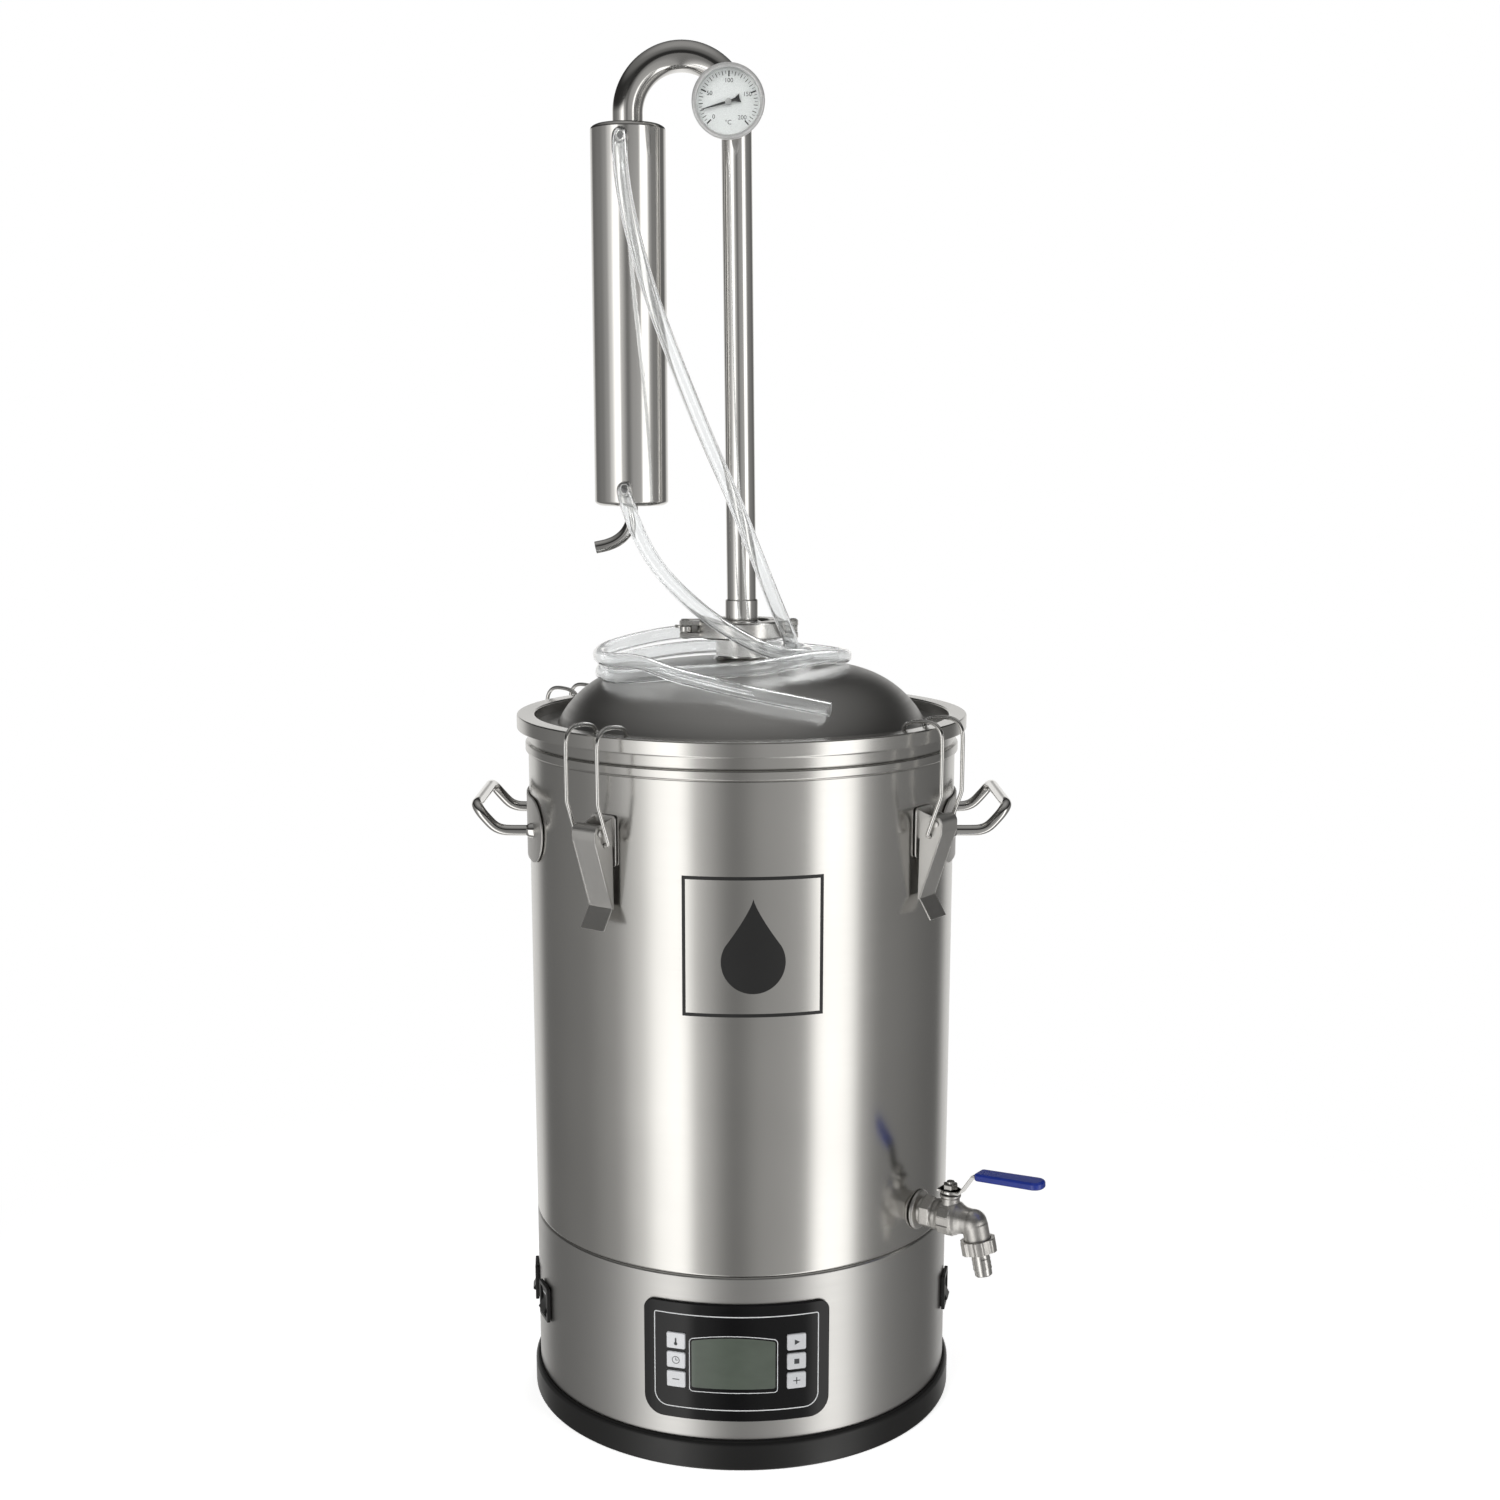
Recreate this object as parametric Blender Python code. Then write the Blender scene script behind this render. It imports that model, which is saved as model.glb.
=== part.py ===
"""An electric brew kettle with a dome still lid, a condenser column, hoses, a tap and a control panel.

Metres, +Z up. The origin is on the kettle's axis at floor level, the front is -Y and +X is to the right.
An azimuth is measured from the front, positive to the right, about the kettle's axis.
"""
import math

import bmesh
import bpy
from mathutils import Matrix, Vector

GAP = 0.0003
BIG, MEDIUM, SMALL, TINY = 36, 20, 12, 8
BORE_TURN = 7.0

# Kettle shell and base
BODY_R = 0.160
WALL = 0.0012
SEAM_Z = 0.1474
GROOVE_Z = (0.5045, 0.5125)
BEAD_OUT = 0.0022
RIM_R, RIM_Z, RIM_BEAD = 0.1616, 0.5240, 0.0032
CASING_BOTTOM = 0.006
CASING_FLANGE_R = 0.150
FOOT_R, FOOT_H = 0.1638, 0.0225
BOTTOM_COVER_R, BOTTOM_COVER_T = 0.1494, 0.0015
HEATER_R, HEATER_RING_R = 0.120, 0.100

# Control panel
PANEL_AZ = -1.4
PANEL_R_IN, PANEL_R_OUT = 0.16055, 0.1623
PANEL_HALF_W, PANEL_Z = 0.0690, (0.0376, 0.1268)
BUTTON_AZ, BUTTON_Z = 15.4, (0.0682, 0.0830, 0.0978)
BUTTON_W, BUTTON_H = 0.0140, 0.0122
BUTTON_TRAVEL = 0.0010
LCD_AZ, LCD_Z, LCD_W, LCD_H = -0.7, 0.0816, 0.0606, 0.0364
ROCKER_AZ = (-69.0, -85.0, 78.0)
ROCKER_Z, ROCKER_PLATE = 0.084, (0.022, 0.028)
ROCKER_PIVOT, ROCKER_TILT = 0.1550, math.radians(10)
INLET_AZ, INLET_Z = 180.0, 0.075

# Handles and latches
HANDLE_Z, HANDLE_RISE, HANDLE_REACH = 0.4500, 0.0185, 0.1955
HANDLE_HALF, HANDLE_ROD_R = 0.050, 0.004
HANDLE_PLATE = (0.074, 0.024)
LATCH_AZ = tuple(-36.5 + 90.0 * k for k in range(4))
LATCH_PIVOT = (0.1770, 0.4665)
BAIL_PIVOT = (0.1725, 0.4575)
BAIL_KNEE = (0.1835, 0.4870)
BAIL_HALF, BAIL_WIRE = 0.0140, 0.0015
LEVER_HALF, LEVER_SHEET = 0.0105, 0.0011
LEVER_TIP_Z = 0.3970

# Tap
TAP_AZ, TAP_Z = 55.0, 0.172
TAP_STEM_X, TAP_OUTLET_X = 0.1868, 0.2071
TAP_TILT = 13.0
TAP_BORE = 0.005
LEVER_TOP_Z, TAP_LEVER_END, LEVER_RISE = 0.2100, 0.2620, 0.0035

# Lid
DOME_APEX, CROWN_R, KNUCKLE_R, DOME_R = 0.5725, 0.450, 0.073, 0.1455
TROUGH_Z = 0.5238
CHANNEL = (0.1550, 0.1683, 0.5218, 0.5322)
FERRULE_R, FERRULE_BORE, FLANGE_R = 0.01905, 0.0174, 0.02525
JOINT_Z = 0.5940

# Column
RISER_R, RISER_BORE, SLEEVE_R = 0.0110, 0.0098, 0.0122
SLEEVE_TOP = 0.6153
RISER_LEAN, BEND_R, BEND_Z = -0.0037, 0.03865, 0.95885
CONDENSER_X = RISER_LEAN - 2 * BEND_R
CONDENSER_R, CONDENSER_Z = 0.0270, (0.6846, 0.9506)
NIPPLE_X, NIPPLE_Z, NIPPLE_TIP = -0.0840, (0.6969, 0.9387), -0.0400
CLAMP_R, CLAMP_LIP_R, CLAMP_HALF_H = 0.0332, 0.0210, 0.00645
CLAMP_BOLT_X, CLAMP_PIN_Y = -0.0415, -0.0060
CLAMP_HINGE_X = 0.0385
DIAL_X, DIAL_Z, DIAL_R, DIAL_FRONT = -0.0092, 0.9600, 0.0253, -0.0470
HOSE_R, HOSE_STEP = 0.0055, 0.021

# Route of each cooling hose, from its nipple to its cut end
HOSE_UPPER_ROUTE = (
    (-0.0840, -0.0412, 0.9387), (-0.0840, -0.0500, 0.9380), (-0.0838, -0.0600, 0.9335),
    (-0.0832, -0.0675, 0.9240), (-0.0820, -0.0710, 0.9100), (-0.0795, -0.0710, 0.8920),
    (-0.0730, -0.0670, 0.8640), (-0.0630, -0.0615, 0.8300), (-0.0500, -0.0560, 0.7950),
    (-0.0270, -0.0495, 0.7380), (-0.0040, -0.0455, 0.6860), (0.0090, -0.0435, 0.6540),
    (0.0205, -0.0410, 0.6250), (0.0290, -0.0350, 0.6040), (0.0360, -0.0250, 0.5890),
    (0.0370, -0.0120, 0.5800), (0.0325, -0.0015, 0.5782), (0.0300, 0.0100, 0.5780),
    (0.0200, 0.0220, 0.5780), (0.0060, 0.0300, 0.5779), (-0.0120, 0.0305, 0.5778),
    (-0.0290, 0.0335, 0.5770), (-0.0470, 0.0360, 0.5752), (-0.0670, 0.0340, 0.5725),
    (-0.0855, 0.0225, 0.5695), (-0.0980, 0.0040, 0.5674), (-0.1030, -0.0170, 0.5653),
    (-0.1010, -0.0380, 0.5638), (-0.0915, -0.0565, 0.5638), (-0.0770, -0.0680, 0.5656),
    (-0.0590, -0.0757, 0.5682), (-0.0360, -0.0805, 0.5700), (-0.0120, -0.0820, 0.5711),
    (0.0100, -0.0775, 0.5722), (0.0300, -0.0650, 0.5740), (0.0470, -0.0475, 0.5755),
    (0.0630, -0.0270, 0.5752), (0.0750, -0.0040, 0.5735), (0.0790, 0.0190, 0.5715),
    (0.0710, 0.0410, 0.5710), (0.0540, 0.0570, 0.5714), (0.0340, 0.0670, 0.5722),
)
HOSE_LOWER_ROUTE = (
    (-0.0840, -0.0412, 0.6969), (-0.0840, -0.0500, 0.6960), (-0.0825, -0.0600, 0.6915),
    (-0.0790, -0.0670, 0.6825), (-0.0740, -0.0700, 0.6690), (-0.0670, -0.0705, 0.6550),
    (-0.0575, -0.0695, 0.6400), (-0.0450, -0.0670, 0.6265), (-0.0310, -0.0635, 0.6135),
    (-0.0150, -0.0590, 0.6010), (0.0000, -0.0550, 0.5915), (0.0150, -0.0505, 0.5835),
    (0.0300, -0.0430, 0.5785), (0.0430, -0.0300, 0.5768), (0.0500, -0.0135, 0.5763),
    (0.0480, 0.0020, 0.5765), (0.0410, 0.0165, 0.5769), (0.0310, 0.0300, 0.5772),
    (0.0170, 0.0395, 0.5773), (0.0020, 0.0450, 0.5793), (-0.0140, 0.0475, 0.5836),
    (-0.0330, 0.0485, 0.5875), (-0.0560, 0.0435, 0.5862), (-0.0770, 0.0330, 0.5830),
    (-0.0930, 0.0170, 0.5803), (-0.1030, -0.0030, 0.5783), (-0.1045, -0.0250, 0.5766),
    (-0.1000, -0.0450, 0.5755), (-0.0900, -0.0615, 0.5762), (-0.0770, -0.0740, 0.5772),
    (-0.0650, -0.0838, 0.5755), (-0.0510, -0.0910, 0.5698), (-0.0343, -0.0980, 0.5668),
    (-0.0170, -0.1060, 0.5630), (0.0024, -0.1145, 0.5597), (0.0210, -0.1180, 0.5562),
    (0.0400, -0.1175, 0.5524), (0.0610, -0.1130, 0.5475),
)


def clear_scene():
    for obj in list(bpy.data.objects):
        bpy.data.objects.remove(obj, do_unlink=True)


def material(name, colour, metallic, roughness):
    made = bpy.data.materials.get(name)
    if made:
        return made
    made = bpy.data.materials.new(name)
    made.use_nodes = True
    shader = made.node_tree.nodes["Principled BSDF"]
    shader.inputs["Base Color"].default_value = (*colour, 1.0)
    shader.inputs["Metallic"].default_value = metallic
    shader.inputs["Roughness"].default_value = roughness
    made.diffuse_color = (*colour, 1.0)
    return made


def brushed_steel():
    return material("brushed_steel", (0.62, 0.60, 0.57), 1.0, 0.33)


def polished_steel():
    return material("polished_steel", (0.70, 0.68, 0.65), 1.0, 0.14)


def cast_steel():
    return material("cast_steel", (0.56, 0.54, 0.52), 1.0, 0.38)


def aluminium():
    return material("aluminium", (0.75, 0.75, 0.76), 1.0, 0.40)


def black_rubber():
    return material("black_rubber", (0.018, 0.018, 0.018), 0.0, 0.65)


def black_plastic():
    return material("black_plastic", (0.012, 0.012, 0.013), 0.0, 0.25)


def blue_vinyl():
    return material("blue_vinyl", (0.012, 0.018, 0.16), 0.0, 0.30)


def silicone():
    return material("silicone", (0.80, 0.80, 0.78), 0.0, 0.50)


def clear_hose():
    return material("clear_hose", (0.82, 0.85, 0.87), 0.0, 0.20)


def lcd_glass():
    return material("lcd_glass", (0.16, 0.20, 0.16), 0.0, 0.15)


def clear_glass():
    return material("clear_glass", (0.92, 0.94, 0.94), 0.0, 0.05)


def button_silver():
    return material("button_silver", (0.66, 0.66, 0.67), 0.6, 0.35)


def green_board():
    return material("green_board", (0.02, 0.16, 0.06), 0.0, 0.45)


def dark_paint():
    return material("dark_paint", (0.02, 0.02, 0.022), 0.0, 0.40)


def add_object(name, shape, finish, parent=None, origin=(0, 0, 0)):
    """Stores a bmesh as an object whose own origin is at the given point of its parent's frame."""
    bmesh.ops.recalc_face_normals(shape, faces=shape.faces)
    bmesh.ops.translate(shape, verts=shape.verts, vec=-Vector(origin))
    mesh = bpy.data.meshes.new(name)
    shape.to_mesh(mesh)
    shape.free()
    mesh.shade_smooth()
    mesh.set_sharp_from_angle(angle=math.radians(35))
    obj = bpy.data.objects.new(name, mesh)
    bpy.context.scene.collection.objects.link(obj)
    if finish:
        mesh.materials.append(finish)
    obj.location = origin
    obj.parent = parent
    return obj


def radial_frame(name, azimuth):
    """An empty on the kettle's axis whose local +X points outward at this azimuth, with +Z up."""
    frame = bpy.data.objects.new(name, None)
    bpy.context.scene.collection.objects.link(frame)
    frame.rotation_euler = (0, 0, math.radians(azimuth - 90.0))
    return frame


def combine(target, tool, operation):
    """Joins or cuts with another object, which stays in the file as a hidden wire."""
    tool.hide_render = True
    tool.display_type = "WIRE"
    step = target.modifiers.new(tool.name, "BOOLEAN")
    step.operation = operation
    step.solver = "EXACT"
    step.object = tool


def cut(target, name, shape, parent=None):
    combine(target, add_object(name, shape, None, parent), "DIFFERENCE")


def weld(target, name, shape, parent=None):
    combine(target, add_object(name, shape, None, parent), "UNION")


def turned(profile, segments, matrix=None):
    """A closed (radius, height) outline turned about Z. Points of zero radius lie on the axis."""
    shape = bmesh.new()
    rings = []
    for radius, height in profile:
        if radius < 1e-7:
            rings.append([shape.verts.new((0, 0, height))])
            continue
        angles = [2 * math.pi * k / segments for k in range(segments)]
        rings.append([shape.verts.new((radius * math.cos(a), radius * math.sin(a), height)) for a in angles])
    for one, other in zip(rings, rings[1:] + rings[:1]):
        if len(one) == 1 and len(other) == 1:
            continue
        for k in range(segments):
            corners = [one[k % len(one)], one[(k + 1) % len(one)], other[(k + 1) % len(other)],
                       other[k % len(other)]]
            shape.faces.new(list(dict.fromkeys(corners)))
    if matrix:
        bmesh.ops.transform(shape, matrix=matrix, verts=shape.verts)
    return shape


def bore(radius, low, high, matrix=None, sides=None):
    """A plain cylinder about Z, turned a little so that its facets cross those of the piece it cuts."""
    offset = Matrix.Rotation(math.radians(BORE_TURN), 4, "Z")
    outline = [(0, low), (radius, low), (radius, high), (0, high)]
    return turned(outline, sides or TINY, matrix @ offset if matrix else offset)


def turned_arc(profile, start, end, steps):
    """A closed outline swept about Z from one angle to another, in degrees, with flat ends."""
    shape = bmesh.new()
    rings = []
    for k in range(steps + 1):
        angle = math.radians(start + (end - start) * k / steps)
        rings.append([shape.verts.new((r * math.cos(angle), r * math.sin(angle), z)) for r, z in profile])
    count = len(profile)
    for one, other in zip(rings, rings[1:]):
        for k in range(count):
            shape.faces.new((one[k], one[(k + 1) % count], other[(k + 1) % count], other[k]))
    shape.faces.new(rings[0])
    shape.faces.new(rings[-1])
    return shape


def prism(outline, low, high, matrix=None):
    """A flat (x, y) outline extruded along Z between two heights."""
    shape = bmesh.new()
    base = [shape.verts.new((x, y, low)) for x, y in outline]
    top = [shape.verts.new((x, y, high)) for x, y in outline]
    count = len(outline)
    for k in range(count):
        shape.faces.new((base[k], base[(k + 1) % count], top[(k + 1) % count], top[k]))
    shape.faces.new(base)
    shape.faces.new(top)
    if matrix:
        bmesh.ops.transform(shape, matrix=matrix, verts=shape.verts)
    return shape


def box(low, high):
    corners = ((low[0], low[1]), (high[0], low[1]), (high[0], high[1]), (low[0], high[1]))
    return prism(corners, low[2], high[2])


def arc_points(centre, radius, start, end, steps):
    angles = [math.radians(start + (end - start) * k / steps) for k in range(steps + 1)]
    return [(centre[0] + radius * math.cos(a), centre[1] + radius * math.sin(a)) for a in angles]


def rounded_rectangle(half_x, half_y, top_radius, bottom_radius, steps=3):
    """Corner arcs in order, starting at the upper right. The first axis is X, the second Y."""
    corners = ((1, 1, 0, top_radius), (-1, 1, 90, top_radius), (-1, -1, 180, bottom_radius),
               (1, -1, 270, bottom_radius))
    points = []
    for side, level, start, radius in corners:
        centre = (side * (half_x - radius), level * (half_y - radius))
        points += arc_points(centre, radius, start, start + 90, steps)
    return points


def along_x(x=0.0, y=0.0, z=0.0):
    """Sets a piece turned about Z on an axis that runs along +X through (y, z)."""
    return Matrix.Translation((x, y, z)) @ Matrix.Rotation(math.radians(90), 4, "Y")


def along_y(x=0.0, y=0.0, z=0.0):
    """Sets a piece turned about Z on an axis that runs along -Y through (x, z)."""
    return Matrix.Translation((x, y, z)) @ Matrix.Rotation(math.radians(90), 4, "X")


def side_view():
    """Sets an (x, z) outline, extruded over Z, upright so that its thickness runs along Y."""
    return Matrix(((1, 0, 0, 0), (0, 0, -1, 0), (0, 1, 0, 0), (0, 0, 0, 1)))


def facing_x():
    """Sets a (y, z) outline, extruded over Z, upright so that its thickness runs along X."""
    return Matrix(((0, 0, 1, 0), (1, 0, 0, 0), (0, 1, 0, 0), (0, 0, 0, 1)))


def smooth_path(points, step):
    """Points a step apart along a Catmull-Rom curve through the given ones."""
    given = [Vector(p) for p in points]
    ends = [2 * given[0] - given[1]] + given + [2 * given[-1] - given[-2]]
    fine = []
    for a, b, c, d in zip(ends, ends[1:], ends[2:], ends[3:]):
        for k in range(10):
            t = k / 10
            cubic = (3 * b - a - 3 * c + d) * t**3
            fine.append(0.5 * (2 * b + (c - a) * t + (2 * a - 5 * b + 4 * c - d) * t**2 + cubic))
    fine.append(given[-1])
    run = [0.0]
    for one, other in zip(fine, fine[1:]):
        run.append(run[-1] + (other - one).length)
    count = round(run[-1] / step)
    path, at = [], 0
    for k in range(count + 1):
        want = run[-1] * k / count
        while at < len(run) - 2 and run[at + 1] < want:
            at += 1
        share = (want - run[at]) / (run[at + 1] - run[at])
        path.append(fine[at].lerp(fine[at + 1], share))
    return path


def tube(path, radii, sides, bores=None):
    """A round tube along a path, with a radius at each point, solid or with a bore open at both ends."""
    path = [Vector(p) for p in path]
    tangents = [(b - a).normalized() for a, b in zip(path[:1] + path[:-1], path[1:] + path[-1:])]
    tangents[0] = (path[1] - path[0]).normalized()
    across = tangents[0].orthogonal().normalized()
    shape = bmesh.new()
    layers = [[], []] if bores else [[]]
    for point, tangent, outer, inner in zip(path, tangents, radii, bores or radii):
        across = (across - tangent * across.dot(tangent)).normalized()
        up = tangent.cross(across)
        for layer, radius in zip(layers, (outer, inner)):
            angles = [2 * math.pi * k / sides for k in range(sides)]
            ring = [point + radius * (math.cos(a) * across + math.sin(a) * up) for a in angles]
            layer.append([shape.verts.new(corner) for corner in ring])
    for layer in layers:
        for one, other in zip(layer, layer[1:]):
            for k in range(sides):
                shape.faces.new((one[k], one[(k + 1) % sides], other[(k + 1) % sides], other[k]))
    for end in (0, -1):
        if bores:
            outer, inner = layers[0][end], layers[1][end]
            for k in range(sides):
                shape.faces.new((outer[k], outer[(k + 1) % sides], inner[(k + 1) % sides], inner[k]))
        else:
            shape.faces.new(layers[0][end])
    return shape


def hexagon(across_flats):
    return arc_points((0, 0), across_flats / math.sqrt(3), 0, 300, 5)


# Kettle and base

def kettle_shell():
    low, high = GROOVE_Z
    inner = BODY_R - WALL
    profile = [
        (0, SEAM_Z), (BODY_R, SEAM_Z + 0.0006), (BODY_R, low), (BODY_R + BEAD_OUT, low + 0.0018),
        (BODY_R + BEAD_OUT, high - 0.0018), (BODY_R, high), (BODY_R, RIM_Z - 0.0035),
        (RIM_R + RIM_BEAD, RIM_Z - 0.0010), (RIM_R + 0.0022, RIM_Z + 0.0028), (inner, RIM_Z + 0.0028),
        (inner, high), (inner + BEAD_OUT, high - 0.0018), (inner + BEAD_OUT, low + 0.0018), (inner, low),
        (inner, SEAM_Z + WALL), (0, SEAM_Z + WALL),
    ]
    shell = add_object("kettle_shell", turned(profile, BIG), brushed_steel())
    frame = radial_frame("tap_hole_frame", TAP_AZ)
    hole = bore(0.0104, 0.150, 0.170, along_x(z=TAP_Z), SMALL)
    cut(shell, "tap_hole", hole, frame)


def base_casing():
    inner = BODY_R - WALL
    top = SEAM_Z - GAP
    profile = [
        (BODY_R, CASING_BOTTOM), (BODY_R, top - 0.0010), (BODY_R - 0.0008, top), (CASING_FLANGE_R, top),
        (CASING_FLANGE_R, top - WALL), (inner, top - WALL), (inner, CASING_BOTTOM),
    ]
    casing = add_object("base_casing", turned(profile, BIG), brushed_steel())
    panel = radial_frame("panel_hole_frame", PANEL_AZ)
    cut(casing, "panel_hole", box((0.140, -0.056, 0.050), (0.170, 0.056, 0.114)), panel)
    for number, azimuth in enumerate(ROCKER_AZ, 1):
        frame = radial_frame(f"rocker_hole_frame_{number}", azimuth)
        half_y, half_z = 0.0096, 0.0126
        hole = box((0.140, -half_y, ROCKER_Z - half_z), (0.170, half_y, ROCKER_Z + half_z))
        cut(casing, f"rocker_hole_{number}", hole, frame)
    frame = radial_frame("inlet_hole_frame", INLET_AZ)
    cut(casing, "inlet_hole", box((0.140, -0.0140, INLET_Z - 0.0105), (0.170, 0.0140, INLET_Z + 0.0105)),
        frame)


def foot_ring():
    profile = [
        (0.1500, 0), (FOOT_R, 0), (FOOT_R, FOOT_H - 0.0012), (FOOT_R - 0.0010, FOOT_H),
        (BODY_R + GAP, FOOT_H), (BODY_R + GAP, CASING_BOTTOM - GAP), (0.1500, CASING_BOTTOM - GAP),
    ]
    add_object("foot_ring", turned(profile, BIG), black_rubber())


def bottom_cover():
    profile = [(0, 0), (BOTTOM_COVER_R, 0), (BOTTOM_COVER_R, BOTTOM_COVER_T), (0, BOTTOM_COVER_T)]
    add_object("bottom_cover", turned(profile, BIG), aluminium())


def heating_element():
    top = SEAM_Z - GAP
    ring = [(HEATER_RING_R + 0.007, top - 0.004)] + arc_points((HEATER_RING_R, top - 0.0080), 0.005, -30,
                                                               -150, 3)
    ring.append((HEATER_RING_R - 0.007, top - 0.004))
    profile = [(0, top), (HEATER_R, top), (HEATER_R, top - 0.004)] + ring + [(0, top - 0.004)]
    add_object("heating_element", turned(profile, BIG), aluminium())


def thermal_cutout():
    top = SEAM_Z - 0.004 - 2 * GAP
    profile = [(0, top), (0.012, top), (0.012, top - 0.002), (0.008, top - 0.003), (0.008, top - 0.013),
               (0, top - 0.013)]
    add_object("thermal_cutout", turned(profile, SMALL), black_plastic())


def control_board():
    frame = radial_frame("board_frame", PANEL_AZ)
    board = add_object("control_board", box((0.1300, -0.060, 0.045), (0.1316, 0.060, 0.119)), green_board(),
                       frame)
    weld(board, "board_relay", box((0.112, -0.040, 0.060), (0.1305, -0.018, 0.090)), frame)
    weld(board, "board_transformer", box((0.106, 0.006, 0.055), (0.1305, 0.040, 0.085)), frame)


# Control panel

def panel_bezel():
    frame = radial_frame("panel_frame", PANEL_AZ)
    low, high = PANEL_Z
    section = [(PANEL_R_IN, low), (PANEL_R_OUT, low), (PANEL_R_OUT, high), (PANEL_R_IN, high)]
    bezel = add_object("panel_bezel", turned_arc(section, -31.5, 31.5, 7), black_plastic(), frame)
    outline = rounded_rectangle(PANEL_HALF_W, (high - low) / 2, 0.008, 0.015)
    outline = [(y, z + (low + high) / 2) for y, z in outline]
    combine(bezel, add_object("panel_outline", prism(outline, 0.130, 0.180, facing_x()), None, frame),
            "INTERSECT")
    half_w, half_h = LCD_W / 2 + 0.0003, LCD_H / 2 + 0.0003
    window_frame = radial_frame("lcd_hole_frame", PANEL_AZ + LCD_AZ)
    window = box((0.150, -half_w, LCD_Z - half_h), (0.170, half_w, LCD_Z + half_h))
    cut(bezel, "lcd_hole", window, window_frame)
    for number, (azimuth, height) in enumerate(button_places(), 1):
        frame = radial_frame(f"button_hole_frame_{number}", azimuth)
        half_y, half_z = BUTTON_W / 2 + GAP, BUTTON_H / 2 + GAP
        hole = box((0.150, -half_y, height - half_z), (0.170, half_y, height + half_z))
        cut(bezel, f"button_hole_{number}", hole, frame)


def button_places():
    return [(PANEL_AZ + side * BUTTON_AZ, height) for side in (-1, 1) for height in reversed(BUTTON_Z)]


def buttons():
    for number, (azimuth, height) in enumerate(button_places(), 1):
        frame = radial_frame(f"button_frame_{number}", azimuth)
        outline = rounded_rectangle(BUTTON_W / 2, BUTTON_H / 2, 0.0015, 0.0015, 2)
        outline = [(y, z + height) for y, z in outline]
        shape = prism(outline, PANEL_R_IN - 0.0015, PANEL_R_OUT + 0.0014, facing_x())
        add_object(f"button_{number}", shape, button_silver(), frame, (PANEL_R_OUT, 0, height))


def lcd_window():
    frame = radial_frame("lcd_frame", PANEL_AZ + LCD_AZ)
    half_w, half_h = LCD_W / 2, LCD_H / 2
    front = PANEL_R_OUT * math.cos(math.asin(half_w / PANEL_R_OUT)) - 0.0004
    shape = box((front - 0.004, -half_w, LCD_Z - half_h), (front, half_w, LCD_Z + half_h))
    add_object("lcd_window", shape, lcd_glass(), frame)


def rocker_switches():
    half_y, half_z = ROCKER_PLATE[0] / 2, ROCKER_PLATE[1] / 2
    for number, azimuth in enumerate(ROCKER_AZ, 1):
        frame = radial_frame(f"rocker_frame_axis_{number}", azimuth)
        low, high = ROCKER_Z - half_z, ROCKER_Z + half_z
        plate = box((BODY_R + GAP, -half_y, low), (BODY_R + 0.0030, half_y, high))
        housing = add_object(f"rocker_frame_{number}", plate, black_plastic(), frame)
        sleeve = box((0.1400, -half_y + 0.0018, low + 0.0018),
                     (BODY_R + 0.0010, half_y - 0.0018, high - 0.0018))
        weld(housing, f"rocker_sleeve_{number}", sleeve, frame)
        pocket = box((0.1440, -half_y + 0.0034, low + 0.0034),
                     (BODY_R + 0.0060, half_y - 0.0034, high - 0.0034))
        cut(housing, f"rocker_pocket_{number}", pocket, frame)
        half = [(-0.0060, 0.0030), (-0.0050, 0.0078), (0.0074, 0.0090), (0.0088, 0.0082), (0.0064, 0.0)]
        level = [(x, -z) for x, z in half] + half[-2::-1]
        tilt = Matrix.Rotation(ROCKER_TILT, 2)
        turned_points = [tilt @ Vector(point) for point in level]
        outline = [(ROCKER_PIVOT + point.x, ROCKER_Z + point.y) for point in turned_points]
        shape = prism(outline, -half_y + 0.0040, half_y - 0.0040, side_view())
        add_object(f"rocker_{number}", shape, black_plastic(), frame, (ROCKER_PIVOT, 0, ROCKER_Z))


def power_inlet():
    frame = radial_frame("inlet_frame", INLET_AZ)
    outline = [(y, z + INLET_Z) for y, z in rounded_rectangle(0.0155, 0.0120, 0.002, 0.002, 2)]
    inlet = add_object("power_inlet", prism(outline, BODY_R + GAP, BODY_R + 0.0028, facing_x()),
                       black_plastic(), frame)
    weld(inlet, "inlet_body",
         box((0.136, -0.0135, INLET_Z - 0.0100), (BODY_R + 0.001, 0.0135, INLET_Z + 0.0100)), frame)
    cut(inlet, "inlet_socket", box((0.1460, -0.0120, INLET_Z - 0.0080), (0.170, 0.0120, INLET_Z + 0.0080)),
        frame)
    for number, (y, z) in enumerate(((-0.007, -0.003), (0.0, 0.003), (0.007, -0.003)), 1):
        pin = box((0.1450, y - 0.001, INLET_Z + z - 0.002), (0.1570, y + 0.001, INLET_Z + z + 0.002))
        weld(inlet, f"inlet_pin_{number}", pin, frame)


# Handles

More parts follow.
